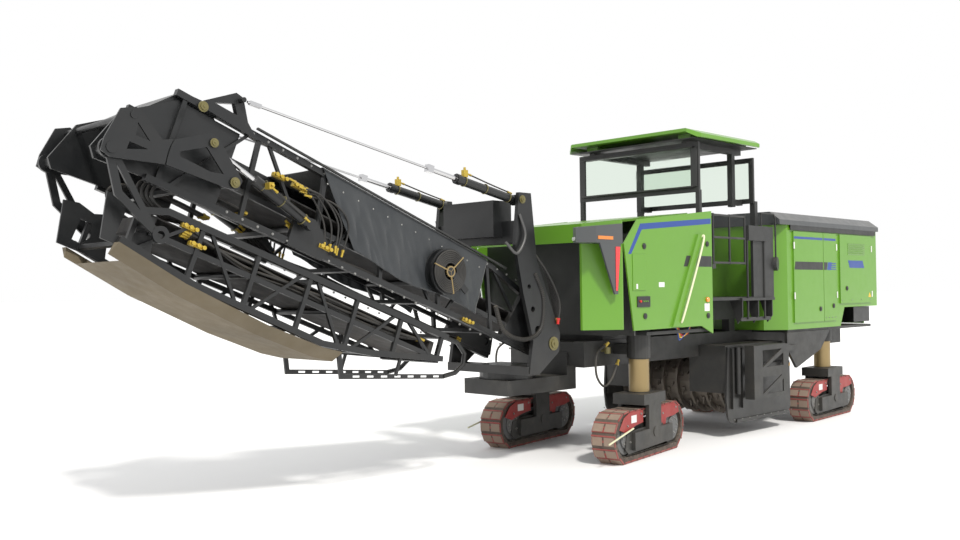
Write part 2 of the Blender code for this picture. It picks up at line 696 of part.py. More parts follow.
def canopy(root):
    post_x = SCREEN_HALF - 0.03
    bar = SCREEN_BAR
    front = outline(
        [(-SCREEN_HALF, SCREEN_BOTTOM), (SCREEN_HALF, SCREEN_BOTTOM), (SCREEN_HALF, SCREEN_TOP), (-SCREEN_HALF, SCREEN_TOP)],
        SCREEN_Y,
        SCREEN_Y + 0.04,
        "Y",
        [
            [
                (-SCREEN_HALF + bar, SCREEN_BOTTOM + bar),
                (SCREEN_HALF - bar, SCREEN_BOTTOM + bar),
                (SCREEN_HALF - bar, SCREEN_TOP - bar),
                (-SCREEN_HALF + bar, SCREEN_TOP - bar),
            ]
        ],
    )
    back = outline(
        [(-SCREEN_HALF, 3.3), (SCREEN_HALF, 3.3), (SCREEN_HALF, 3.96), (-SCREEN_HALF, 3.96)],
        REAR_SCREEN_Y,
        REAR_SCREEN_Y + 0.04,
        "Y",
        [
            [
                (-SCREEN_HALF + bar, 3.3 + bar),
                (SCREEN_HALF - bar, 3.3 + bar),
                (SCREEN_HALF - bar, 3.96 - bar),
                (-SCREEN_HALF + bar, 3.96 - bar),
            ]
        ],
    )
    shapes = [front, back]
    for x in (-post_x, post_x):
        shapes.append(box((x - 0.03, SCREEN_Y + 0.005, DECK_TOP - 0.12), (x + 0.03, SCREEN_Y + 0.065, SCREEN_BOTTOM + 0.03)))
        shapes.append(box((x - 0.04, REAR_SCREEN_Y + 0.02, PLATFORM_FLOOR + SEAT), (x + 0.04, REAR_SCREEN_Y + 0.1, 3.33)))
    for x in (-0.8, 0.8):
        post = CANOPY_POST / 2
        shapes.append(box((x - post, 2.45, 3.25), (x + post, 2.45 + CANOPY_POST, ROOF_BOTTOM - 0.03)))
        shapes.append(box((x - post, 2.44, 3.28), (x + post, REAR_SCREEN_Y + 0.03, 3.36)))
        shapes.append(box((x - post, SCREEN_Y + 0.01, ROOF_BOTTOM - 0.09), (x + post, REAR_SCREEN_Y, ROOF_BOTTOM - SEAT)))
    piece("canopy_frame", "charcoal", root, shapes)

    for name, y, low, high in (("windshield_glass", SCREEN_Y, SCREEN_BOTTOM, SCREEN_TOP), ("rear_glass", REAR_SCREEN_Y, 3.3, 3.96)):
        edge = SCREEN_HALF - bar - SEAT
        pane = box((-edge, y + 0.017, low + bar + SEAT), (edge, y + 0.023, high - bar - SEAT))
        piece(name, "glass", root, [pane])

    half = ROOF_HALF
    inset = 0.16
    section = [
        (-half, ROOF_BOTTOM),
        (-half + 0.04, ROOF_BOTTOM),
        (-half + inset, ROOF_BOTTOM + 0.075),
        (half - inset, ROOF_BOTTOM + 0.075),
        (half - 0.04, ROOF_BOTTOM),
        (half, ROOF_BOTTOM),
        (half, ROOF_BOTTOM + 0.05),
        (half - inset, ROOF_TOP),
        (-half + inset, ROOF_TOP),
        (-half, ROOF_BOTTOM + 0.05),
    ]
    roof = outline(section, ROOF_FRONT, ROOF_BACK, "Y")
    plates = [box((-0.9, 1.3, ROOF_BOTTOM), (-0.7, 2.75, ROOF_BOTTOM + 0.1)), box((0.7, 1.3, ROOF_BOTTOM), (0.9, 2.75, ROOF_BOTTOM + 0.1))]
    corner = 0.14
    trims = []
    for x, y in ((-half, ROOF_FRONT), (half, ROOF_FRONT), (half, ROOF_BACK), (-half, ROOF_BACK)):
        inner_y = y + corner * (1 if y == ROOF_FRONT else -1)
        inner_x = x - math.copysign(corner, x)
        far = 0.3
        out_x = x + math.copysign(far, x)
        out_y = y - far * (1 if y == ROOF_FRONT else -1)
        trims.append(outline([(inner_x, y), (x, inner_y), (out_x, inner_y), (out_x, out_y), (inner_x, out_y)], 3.9, 4.5, "Z"))
    piece("canopy_roof", "lime", root, [roof, *plates], trims)


# ---------------------------------------------------------------- rear body
def rear_plan(inset):
    half = HALF_WIDTH - DOOR_THICK - SEAT - inset
    corner = REAR_CORNER
    return [
        (-half + corner, REAR_FRONT - 0.22 + inset),
        (half - corner, REAR_FRONT - 0.22 + inset),
        (half, REAR_FRONT + 0.02 + inset),
        (half, REAR_BACK - inset),
        (-half, REAR_BACK - inset),
        (-half, REAR_FRONT + 0.02 + inset),
    ]


def rear_body(root):
    shell = outline(rear_plan(0), REAR_BOTTOM, HOOD_BOTTOM - SEAT, "Z")
    core = outline(rear_plan(SHEET), REAR_BOTTOM - 0.1, HOOD_BOTTOM + 0.1, "Z")
    lip = outline(rear_plan(0.004), REAR_BOTTOM, REAR_BOTTOM + 0.01, "Z")
    lip_hole = outline(rear_plan(0.03), REAR_BOTTOM - 0.1, REAR_BOTTOM + 0.1, "Z")
    combine(lip, [lip_hole], "DIFFERENCE")
    combine(shell, [core], "DIFFERENCE")
    cuts = []
    rim = 0.04
    for side in (-1, 1):
        low, high = sorted((side * 1.1, side * 1.3))
        for (front, back), bottom in ((DOUBLE_DOOR, DOUBLE_DOOR_BOTTOM), (SINGLE_DOOR, SINGLE_DOOR_BOTTOM)):
            cuts.append(box((low, front + rim, bottom + rim), (high, back - rim, DOOR_TOP - rim)))
    for side in (-1, 1):
        low, high = sorted((side * 1.0, side * 1.3))
        cuts.append(
            outline(
                [(4.95, REAR_BOTTOM - 0.1), (5.15, SINGLE_DOOR_BOTTOM - 0.06), (6.6, SINGLE_DOOR_BOTTOM - 0.06), (6.6, REAR_BOTTOM - 0.1)],
                low,
                high,
            )
        )
    cuts.append(box((-0.95, REAR_BACK - 0.1, 2.1), (0.95, REAR_BACK + 0.1, 2.85)))
    piece("rear_shell", "lime", root, [shell, lip], cuts)

    engine = [
        box((-0.42, 3.75, FRAME_TOP + 0.1), (0.42, 5.6, 2.72)),
        box((-0.62, 3.9, FRAME_TOP), (0.62, 4.1, FRAME_TOP + 0.15)),
        box((-0.62, 5.2, FRAME_TOP), (0.62, 5.4, FRAME_TOP + 0.15)),
    ]
    piece("engine", "charcoal", root, engine)

    back_box = [
        box((-1.1, REAR_BACK - 0.62, SINGLE_DOOR_BOTTOM - 0.32), (1.1, REAR_BACK - 0.02, SINGLE_DOOR_BOTTOM - 0.07)),
        box((-0.7, REAR_BACK - 0.6, FRAME_TOP), (0.7, REAR_BACK - 0.3, SINGLE_DOOR_BOTTOM - 0.2)),
    ]
    piece("rear_box", "charcoal", root, back_box)

    hood_front = REAR_FRONT - 0.24
    hood_axis = axis_empty("hood_axis", (0, hood_front, HOOD_TOP), root)
    half = HALF_WIDTH + 0.01
    front, back = 0.0, REAR_BACK + 0.03 - hood_front
    bottom, top = HOOD_BOTTOM - HOOD_TOP - 0.001, 0.0
    section = [
        (-half, bottom),
        (half, bottom),
        (half, bottom + 0.07),
        (half - 0.16, top),
        (-half + 0.16, top),
        (-half, bottom + 0.07),
    ]
    hollow_section = [
        (-half + SHEET, bottom - 0.1),
        (half - SHEET, bottom - 0.1),
        (half - SHEET, bottom + 0.066),
        (half - 0.162, top - SHEET),
        (-half + 0.162, top - SHEET),
        (-half + SHEET, bottom + 0.066),
    ]
    shapes = [outline(section, front, back, "Y")]
    cuts = [outline(hollow_section, front + SHEET, back - SHEET, "Y")]
    combine(shapes[0], cuts, "DIFFERENCE")
    for side in (-1, 1):
        low, high = sorted((side * (half - 0.05), side * (half - 0.004)))
        shapes.append(box((low, front + 0.02, bottom + 0.001), (high, back - 0.02, bottom + 0.012)))
    piece("engine_hood", "charcoal", hood_axis, shapes)


def door(root, name, side, hinge_y, edge_y, low_z, notch):
    """One overlaid leaf, hinged on a vertical axis just outside its edge."""
    face = side * HALF_WIDTH
    axis = axis_empty(f"{name}_axis", (face + side * 0.01, hinge_y, 0), root)
    reach = edge_y - hinge_y
    start = math.copysign(0.02, reach)
    far_bottom = low_z + notch
    points = [(start, low_z), (reach * 0.72, low_z), (reach, far_bottom), (reach, DOOR_TOP), (start, DOOR_TOP)]
    if not notch:
        points = [(start, low_z), (reach, low_z), (reach, DOOR_TOP), (start, DOOR_TOP)]
    low, high = sorted((-side * 0.01, -side * (0.01 + DOOR_THICK)))
    piece(name, "lime", axis, [outline(points, low, high)])


def doors(root):
    seam = DOUBLE_DOOR[0] + (DOUBLE_DOOR[1] - DOUBLE_DOOR[0]) * 0.68
    for side in (1, -1):
        name = side_name(side)
        door(root, f"door_front_{name}", side, DOUBLE_DOOR[0], seam - DOOR_GAP / 2, DOUBLE_DOOR_BOTTOM, 0)
        door(root, f"door_middle_{name}", side, DOUBLE_DOOR[1], seam + DOOR_GAP / 2, DOUBLE_DOOR_BOTTOM, 0)
        door(root, f"door_rear_{name}", side, SINGLE_DOOR[1], SINGLE_DOOR[0], SINGLE_DOOR_BOTTOM, 0)


def ladders(root):
    """The skirt with its box ladder on each side and the swinging gate above it."""
    for side in (1, -1):
        name = side_name(side)
        low, high = sorted((side * (HALF_WIDTH - 0.06), side * (HALF_WIDTH - 0.02)))
        top = FRAME_TOP - 0.04 - SEAT
        skirt = [(REAR_FRONT - 0.02, top), (4.62, top), (4.3, 1.12), (REAR_FRONT + 0.26, 0.88), (REAR_FRONT - 0.02, 1.18)]
        shapes = [outline(skirt, low, high)]
        front, back = LADDER_SPAN
        bottom, height = LADDER_BOTTOM, LADDER_TOP
        inner, outer = sorted((side * (HALF_WIDTH - 0.12), side * (HALF_WIDTH + 0.02)))
        shapes.append(box((inner, front, bottom), (outer, front + 0.02, height)))
        shapes.append(box((inner, front + 0.005, bottom + 0.002), (outer, back, bottom + 0.025)))
        middle = (bottom + height) / 2
        shapes.append(box((inner, front + 0.005, middle), (outer, back, middle + 0.025)))
        shapes.append(box((inner, front + 0.005, height - 0.03), (outer, back, height - 0.002)))
        face_low, face_high = sorted((side * (HALF_WIDTH + 0.005), side * (HALF_WIDTH + 0.025)))
        frame = [(front + 0.004, bottom + 0.004), (back + 0.04, bottom + 0.004), (back + 0.1, height - 0.01), (front + 0.004, height - 0.01)]
        windows = []
        for base in (bottom + 0.06, middle + 0.06):
            windows.append([(front + 0.24, base), (front + 0.24, base + 0.24), (back - 0.12, base + 0.24)])
            windows.append([(front + 0.34, base), (back - 0.08, base), (back - 0.08, base + 0.18)])
        shapes.append(outline(frame, face_low, face_high, holes=windows))
        rail_low, rail_high = sorted((side * (HALF_WIDTH - 0.055), side * (HALF_WIDTH + 0.02)))
        shapes.append(box((rail_low, back - 0.05, height - 0.12), (rail_high, back + 0.35, height - 0.04)))
        piece(f"skirt_{name}", "charcoal", root, shapes)
        gate_axis = axis_empty(f"gate_axis_{name}", (side * (HALF_WIDTH - 0.03), PANEL_REAR + 0.05, 0), root)
        bars = []
        for z in (2.42, 2.76, 3.06):
            bars.append(tube([(0, 0.03, z), (0, 0.84, z)], 0.016, 1))
        for y in (0.03, 0.44, 0.84):
            bars.append(tube([(0, y, GATE_BOTTOM), (0, y, 3.08)], 0.018, 1))
        piece(f"gate_{name}", "charcoal", gate_axis, bars)


# ---------------------------------------------------------------- conveyor
def boom_point(u, v):
    """A place on the boom in the design's frame."""
    turned = Euler((-BOOM_TILT, 0, 0)).to_matrix() @ Vector((0, -u, v))
    return turned + Vector((0, BOOM_FOOT_Y, BOOM_FOOT_Z))


def slew_frame(root):
    """The swinging foot of the conveyor with the portal that holds the lift cylinders."""
    axis = axis_empty("slew_axis", (0, SLEW_Y, 0), root)
    foot_y = BOOM_FOOT_Y - SLEW_Y
    pin_y = LIFT_BASE_Y - SLEW_Y
    wide = PORTAL_X + PORTAL_PLATE
    shapes = [
        rod((0, 0, TURNTABLE_BOTTOM), (0, 0, 1.16), 0.34, 24),
        box((-wide + 0.01, -0.36, 1.1), (wide - 0.01, -0.16, 1.2)),
        box((-0.3, -0.3, 1.1), (0.3, 0.2, 1.19)),
        box((-wide + 0.01, pin_y - 0.06, 2.62), (wide - 0.01, pin_y + 0.12, 2.88)),
        box((-0.42, pin_y - 0.2, 2.7), (0.42, pin_y + 0.1, LIFT_BASE_Z)),
    ]
    cuts = []
    for side in (-1, 1):
        low, high = sorted((side * PORTAL_X, side * wide))
        foot = [
            (-0.35, 1.12),
            (-0.16, 1.12),
            (foot_y + 0.1, BOOM_FOOT_Z - 0.1),
            (foot_y + 0.12, BOOM_FOOT_Z + 0.12),
            (pin_y + 0.24, 2.42),
            (pin_y + 0.15, LIFT_BASE_Z + 0.08),
            (pin_y - 0.05, LIFT_BASE_Z + 0.08),
            (pin_y - 0.12, 2.6),
            (pin_y + 0.0, 2.05),
            (-0.28, 1.5),
        ]
        shapes.append(outline(foot, low, high))
        low, high = sorted((side * (BOOM_HALF - 0.04), side * (PORTAL_X + 0.01)))
        shapes.append(rod((low, foot_y, BOOM_FOOT_Z), (high, foot_y, BOOM_FOOT_Z), FOOT_PIN, 24))
        low, high = sorted((side * (PIN_X + BARREL_EYE + SEAT), side * (PORTAL_X + 0.01)))
        shapes.append(rod((low, pin_y, LIFT_BASE_Z), (high, pin_y, LIFT_BASE_Z), 0.03))
        low, high = sorted((side * (PORTAL_X - 0.1), side * (wide + 0.1)))
        for y, z, size in ((-0.2, 1.62, 0.05), (-0.28, 1.86, 0.035), (-0.34, 2.12, 0.03)):
            cuts.append(rod((low, y, z), (high, y, z), size))
    piece("slew_frame", "black", axis, shapes, cuts)
    return axis


def truss_side(x, top, bottom, size, bays):
    """One side of a lattice boom between two bent chords given as (Y, Z) points."""
    low, high = x - size / 2, x + size / 2
    shapes = [strip(top, size, low, high), strip(bottom, size, low, high)]

    def at(chord, share):
        place = chord[0][0] + (chord[-1][0] - chord[0][0]) * share
        for start, end in zip(chord, chord[1:]):
            if (start[0] - place) * (end[0] - place) <= 0:
                part = (place - start[0]) / (end[0] - start[0])
                return place, start[1] + (end[1] - start[1]) * part
        return chord[-1]

    for k in range(bays):
        share = (0.02 + 0.96 * k / bays, 0.02 + 0.96 * (k + 1) / bays)
        post = at(bottom, share[0])
        shapes.append(beam((x, *post), (x, *at(top, share[0])), size * 0.7, size * 0.7, (0, 1, 0)))
        ends = (at(bottom, share[0] + 0.02), at(top, share[1] - 0.02))
        if k % 2:
            ends = (at(top, share[0] + 0.02), at(bottom, share[1] - 0.02))
        shapes.append(beam((x, *ends[0]), (x, *ends[1]), size * 0.5, size * 0.5))
    post = at(bottom, 0.98)
    shapes.append(beam((x, *post), (x, *at(top, 0.98)), size * 0.7, size * 0.7, (0, 1, 0)))
    return shapes


def roller_bed(places, middle):
    """The rail along each side under a belt, and the rollers between them at the given (Y, Z) places."""
    shapes = []
    for side in (-1, 1):
        low, high = sorted((side * (middle - 0.02), side * (middle + 0.012)))
        shapes.append(strip([places[0], places[-1]], 0.05, low, high))
    for y, z in places[1:-1]:
        shapes.append(rod((-middle, y, z), (middle, y, z), ROLLER))
    return shapes


def rear_boom(slew):
    """The lattice boom with its foot eyes, head plates and rope brackets."""
    foot = (0, BOOM_FOOT_Y - SLEW_Y, BOOM_FOOT_Z)
    axis = axis_empty("boom_axis", foot, slew, (-BOOM_TILT, 0, 0))
    size = CHORD_SIZE
    middle = BOOM_HALF - size / 2
    top = [along(BOOM_START, RAIL_V - 0.14), along(1.1, RAIL_V), along(BOOM_END, RAIL_V)]
    bottom = [along(-0.12, -0.16), along(1.4, -0.16), along(BOOM_END, CHORD_V)]
    shapes = []
    for side in (-1, 1):
        shapes += truss_side(side * middle, top, bottom, size, BOOM_BAYS)
        low, high = sorted((side * (BOOM_HALF - size - 0.004), side * (BOOM_HALF + 0.004)))
        shapes.append(outline([along(-0.14, -0.14), along(-0.1, 0.12), along(0.5, RAIL_V - 0.1), along(0.7, -0.15)], low, high))
        low, high = sorted((side * (HEAD_X - HEAD_PLATE), side * HEAD_X))
        head = [
            along(BOOM_END - 0.7, -0.2),
            along(FOLD_U + 0.02, FOLD_V - 0.08),
            along(FOLD_U + 0.08, FOLD_V),
            along(TUBE_U + 0.03, TUBE_V + 0.05),
            along(BOOM_END - 0.05, RAIL_V - 0.05),
            along(BOOM_END - 0.7, RAIL_V - 0.05),
        ]
        shapes.append(outline(head, low, high))
        low, high = sorted((side * (BOOM_HALF - 0.03), side * (BOOM_HALF + 0.028)))
        bracket = [
            along(4.35, RAIL_V - 0.05),
            along(5.0, RAIL_V - 0.02),
            along(4.96, RAIL_V + 0.04),
            along(ROPE_U + 0.06, ROPE_V + 0.05),
            along(ROPE_U - 0.02, ROPE_V + 0.04),
            along(4.5, RAIL_V + 0.06),
        ]
        window = [along(4.62, RAIL_V + 0.07), along(4.86, RAIL_V + 0.07), along(4.68, ROPE_V - 0.05)]
        shapes.append(outline(bracket, low, high, holes=[window]))
        low, high = sorted((side * (BOOM_HALF - 0.02), side * (PIN_X + 0.03)))
        shapes.append(rod((low, -ROPE_U, ROPE_V), (high, -ROPE_U, ROPE_V), ROPE_PIN))
        low, high = sorted((side * (BOOM_HALF - 0.04), side * (CYLINDER_X - BARREL_EYE - SEAT)))
        shapes.append(rod((low, -FOLD_BASE[0], FOLD_BASE[1]), (high, -FOLD_BASE[0], FOLD_BASE[1]), 0.035))
        low, high = sorted((side * (BOOM_HALF - 0.035), side * (BOOM_HALF + 0.012)))
        plate = [along(3.3, -0.26), along(3.72, -0.26), along(3.72, 0.06), along(3.5, 0.08), along(3.25, -0.1)]
        shapes.append(outline(plate, low, high))
        shapes += head_truss(side)
    for u in (0.9, 1.9, 2.9, 3.9, 4.9):
        v = -0.16 + (CHORD_V + 0.16) * max(0, u - 1.4) / (BOOM_END - 1.4)
        shapes.append(beam((-middle, -u, v), (middle, -u, v), size * 0.7, size * 0.7))
    shapes += roller_bed([along(u, BELT_LOW - ROLLER - SEAT) for u in (0.5, 2.0, 3.5, 5.0)], middle)
    hood = [
        along(4.75, RAIL_V - 0.05),
        along(4.88, RAIL_V + 0.07),
        along(5.13, RAIL_V + 0.05),
        along(5.42, RAIL_V - 0.28),
        along(5.3, RAIL_V - 0.35),
        along(4.9, RAIL_V - 0.12),
    ]
    hollow = [
        along(4.6, RAIL_V - 0.08),
        along(4.88, RAIL_V + 0.055),
        along(5.12, RAIL_V + 0.037),
        along(5.4, RAIL_V - 0.28),
        along(5.2, RAIL_V - 0.45),
        along(4.9, RAIL_V - 0.3),
    ]
    head_hood = outline(hood, -0.43, 0.43)
    combine(head_hood, [outline(hollow, -0.42, 0.42)], "DIFFERENCE")
    shapes.append(head_hood)
    shapes.append(beam((-0.45, -5.1, RAIL_V - 0.1), (0.45, -5.1, RAIL_V - 0.1), 0.06, 0.06))
    shapes.append(rod((-PLATE_X - 0.03, -TUBE_U, TUBE_V), (PLATE_X + 0.03, -TUBE_U, TUBE_V), 0.03, 14))
    reach = BOOM_HALF + 0.2
    pivot = (-CRANK_PIN[0], CRANK_PIN[1])
    holes = [rod((-reach, *pivot), (reach, *pivot), bore_radius(CRANK_ROD, 24), 24)]
    for side in (-1, 1):
        low, high = sorted((side * (BOOM_HALF - 0.2), side * reach))
        holes.append(rod((low, 0, 0), (high, 0, 0), bore_radius(FOOT_PIN, 24), 24))
    piece("boom_rear", "black", axis, shapes, holes)

    belt_half = BOOM_HALF - 0.1
    belt = box((-belt_half, -BOOM_END + 0.04, BELT_LOW), (belt_half, -BOOM_START - 0.02, 0.2))
    inner = box((-belt_half - 0.1, -BOOM_END + 0.1, 0.055), (belt_half + 0.1, -BOOM_START - 0.08, 0.185))
    piece("belt_rear", "rubber", axis, [belt], [inner])
    boom_tarp(axis)
    hose_reel(axis)
    return axis


def head_truss(side):
    """The outer plate at the boom's head, with the fold pin and the spacer that carry it."""
    pin_u, pin_v = CRANK_PIN
    reach = CRANK_REACH + CLEAR
    edge = [along(pin_u + reach * math.cos(turn), pin_v + reach * math.sin(turn)) for turn in (-0.2, -0.1, 0.0, 0.08, 0.15)]
    plate = [
        *edge,
        along(5.25, 0.04),
        along(5.47, 0.17),
        along(TUBE_U, 0.19),
        along(5.66, 0.12),
        along(5.7, -0.16),
        along(5.69, -0.27),
        along(5.6, -0.29),
    ]
    upper = [along(5.49, 0.08), along(5.34, -0.02), along(5.47, -0.03)]
    lower = [along(5.33, -0.09), along(5.5, -0.1), along(5.5, -0.17)]
    low, high = sorted((side * PLATE_X, side * (PLATE_X + CRANK_PLATE)))
    shapes = [outline(plate, low, high, holes=[upper, lower])]
    low, high = sorted((side * (HEAD_X - 0.015), side * (PLATE_X + CRANK_PLATE + 0.012)))
    shapes.append(rod((low, -FOLD_U, FOLD_V), (high, -FOLD_U, FOLD_V), FOLD_PIN, 24))
    low, high = sorted((side * (HEAD_X - 0.015), side * (PLATE_X + 0.01)))
    shapes.append(rod((low, -5.25, -0.03), (high, -5.25, -0.03), 0.03))
    return shapes


def boom_tarp(boom):
    """The sheet laid over the boom's rails, hanging down on both sides."""
    inner = BOOM_HALF + 0.006
    outer = inner + TARP_THICK
    top = RAIL_V + CHORD_SIZE / 2 + SEAT
    section = [(-outer, TARP_LOW), (-outer, top + TARP_THICK), (outer, top + TARP_THICK), (outer, TARP_LOW)]
    hollow = [(-inner, TARP_LOW - 0.1), (-inner, top), (inner, top), (inner, TARP_LOW - 0.1)]
    sheet = outline(section, -TARP_SPAN[1], -TARP_SPAN[0], "Y")
    cut = outline(hollow, -TARP_SPAN[1] - 0.1, -TARP_SPAN[0] + 0.1, "Y")
    slant = outline(
        [along(TARP_SPAN[1] + 0.1, TARP_LOW - 0.05), along(TARP_SPAN[1] - 0.5, TARP_LOW - 0.05), along(TARP_SPAN[1] + 0.1, top - 0.1)],
        -1,
        1,
    )
    piece("boom_tarp", "black", boom, [sheet], [cut, slant])


def hose_reel(boom):
    """The reel on the boom's left side, with the bracket that holds its spindle."""
    u, v = REEL_PLACE
    start = BOOM_HALF + 0.006 + TARP_THICK + SEAT
    wheel = rod((start + 0.03, -u, v), (start + 0.14, -u, v), REEL_RADIUS, 28)
    groove = rod((start + 0.05, -u, v), (start + 0.12, -u, v), REEL_RADIUS + 0.1, 28)
    core = rod((start + 0.04, -u, v), (start + 0.13, -u, v), REEL_RADIUS - 0.05, 28)
    combine(wheel, [groove], "DIFFERENCE")
    dish = rod((start + 0.1, -u, v), (start + 0.2, -u, v), REEL_RADIUS - 0.09, 20)
    spindle = rod((start, -u, v), (start + 0.17, -u, v), 0.045, 16)
    arm = strip([along(u + 0.02, v + 0.02), along(u - 0.3, v - 0.12)], 0.07, start + 0.145, start + 0.165)
    combine(core, [wheel], "UNION")
    combine(core, [dish], "DIFFERENCE")
    piece("hose_reel", "black", boom, [core, spindle, arm])


def front_boom(boom):
    """The folded discharge section under the rear boom, in the fold axis's frame."""
    axis = axis_empty("fold_axis", (0, -FOLD_U, FOLD_V), boom)

    def local(u, v):
        return (FOLD_U - u, v - FOLD_V)

    size = 0.06
    middle = FRONT_HALF_WIDTH - size / 2
    top = [local(5.22, FRONT_TOP_V - 0.12), local(4.9, FRONT_TOP_V), local(FRONT_START, FRONT_TOP_V + 0.03)]
    bottom = [local(5.22, -0.83), local(4.47, -0.95), local(3.0, -1.0), local(2.4, -0.9), local(FRONT_START, -0.66)]
    shapes = []
    for side in (-1, 1):
        shapes += truss_side(side * middle, top, bottom, size, 6)
        low, high = sorted((side * ARM_X, side * (ARM_X + ARM_PLATE)))
        knee = local(5.42, -0.52)
        hub = (0, 0)
        eye = local(*ARM_EYE)
        tip = local(*ARM_TIP)
        shapes.append(strip([hub, knee, eye, tip], 0.07, low, high))
        shapes.append(strip([(hub[0] + 0.04, hub[1]), (eye[0], eye[1] + 0.02)], 0.055, low, high))
        shapes.append(rod((low - 0.004, 0, 0), (high + 0.004, 0, 0), 0.085, 20))
        shapes.append(rod((low - 0.006, *tip), (high + 0.006, *tip), 0.075, 16))
        inner, outer = sorted((side * (FRONT_HALF_WIDTH - 0.062), side * (ARM_X + 0.01)))
        shapes.append(rod((inner, *eye), (outer, *eye), 0.045, 14))
        inner, outer = sorted((side * (FRONT_HALF_WIDTH - 0.065), side * (FRONT_HALF_WIDTH - 0.045)))
        ear = [local(5.36, -0.88), local(4.9, -0.88), local(4.98, FRONT_TOP_V - 0.1), local(5.3, FRONT_TOP_V - 0.02), local(5.44, -0.5)]
        oval = [local(5.25, -0.8), local(5.16, -0.82), local(5.1, -0.72), local(5.14, -0.6), local(5.24, -0.6)]
        shapes.append(outline(ear, inner, outer, holes=[oval]))
        shapes += discharge_guard(local, side, middle)
    for u, v in ((5.15, -0.84), (4.3, -0.96), (3.4, -0.99), (2.5, -0.92), (1.5, -0.7), (1.5, FRONT_TOP_V + 0.02), (3.2, FRONT_TOP_V + 0.01), (4.8, FRONT_TOP_V)):
        shapes.append(beam((-middle, *local(u, v)), (middle, *local(u, v)), size * 0.7, size * 0.7))
    for x in (-0.3, 0.3):
        foot = local(3.4, -1.15 + COVER_THICK + SEAT)
        shapes.append(box((x - 0.03, foot[0] - 0.03, foot[1]), (x + 0.03, foot[0] + 0.03, local(3.4, -0.99)[1])))
    roller = FRONT_TOP_V - 0.2 - ROLLER - SEAT
    shapes += roller_bed([local(u, roller) for u in (1.5, 3.0, 4.0, 5.0)], middle)
    holes = []
    for side in (-1, 1):
        low, high = sorted((side * (ARM_X - 0.1), side * (ARM_X + 0.1)))
        holes.append(rod((low, *local(*ARM_TIP)), (high, *local(*ARM_TIP)), 0.034, 12))
        holes.append(rod((low, 0, 0), (high, 0, 0), bore_radius(FOLD_PIN, 24), 24))
    piece("boom_front", "black", axis, shapes, holes)
    front_cover(axis, local)

    belt_half = FRONT_HALF_WIDTH - 0.1
    low, high = FRONT_TOP_V - 0.2 - FOLD_V, FRONT_TOP_V - 0.06 - FOLD_V
    belt = box((-belt_half, FOLD_U - 5.0, low), (belt_half, FOLD_U - FRONT_START - 0.1, high))
    inner = box((-belt_half - 0.1, FOLD_U - 4.94, low + 0.015), (belt_half + 0.1, FOLD_U - FRONT_START - 0.16, high - 0.015))
    piece("belt_front", "rubber", axis, [belt], [inner])
    return axis


def discharge_guard(local, side, middle):
    """The slotted bar and the bent tube that guard the discharge end on one side."""
    low, high = sorted((side * (middle - 0.012), side * (middle + 0.012)))
    start, corner, end = local(2.78, -1.0), local(2.66, -1.23), local(1.36, -0.83)
    bar = strip([start, corner, end], 0.05, low, high)
    run = Vector(end) - Vector(corner)
    ahead = run.normalized()
    slots = []
    for k in range(7):
        place = Vector(corner) + run * ((k + 0.75) / 7.6)
        slots.append(strip([tuple(place), tuple(place + ahead * 0.1)], 0.02, low - 0.1, high + 0.1))
    combine(bar, slots, "DIFFERENCE")
    x = side * middle
    hook = [end, local(1.2, -0.74), local(1.12, -0.62), local(1.14, -0.5), local(1.28, -0.42), local(1.5, FRONT_TOP_V + 0.02)]
    bend = tube([(x, *place) for place in hook], 0.026)
    stay = beam((x, *local(2.0, -1.02)), (x, *local(2.0, -0.82)), 0.026, 0.03, (0, 1, 0))
    return [bar, bend, stay]


def front_cover(axis, local):
    """The curved sheet that closes the front section's outer side."""
    spine = [(5.25, -0.975), (4.58, -1.085), (3.69, -1.15), (3.04, -1.15), (2.8, -1.12)]
    flat, edge, rise = COVER_HALF, COVER_EDGE, 0.1

    def shell(grow, reach):
        """The cover's outer or inner surface as a closed solid, a section lofted along the spine."""
        shape = bmesh.new()
        rings = []
        for k, (u, v) in enumerate(spine):
            shift = reach if k == 0 else (-reach if k == len(spine) - 1 else 0)
            y, z = local(u + shift, v)
            section = ((-edge + grow, rise + 2 * reach), (-flat + grow, grow), (flat - grow, grow), (edge - grow, rise + 2 * reach))
            rings.append([shape.verts.new((x, y, z + dz)) for x, dz in section])
        for near, far in zip(rings, rings[1:]):
            for a, b in ((0, 1), (1, 2), (2, 3), (3, 0)):
                shape.faces.new((near[a], near[b], far[b], far[a]))
        shape.faces.new(list(reversed(rings[0])))
        shape.faces.new(rings[-1])
        bmesh.ops.recalc_face_normals(shape, faces=shape.faces)
        mesh = bpy.data.meshes.new("shape")
        shape.to_mesh(mesh)
        shape.free()
        return link("shape", mesh)

    piece("front_cover", "tan", axis, [shell(0, 0)], [shell(COVER_THICK, 0.1)])


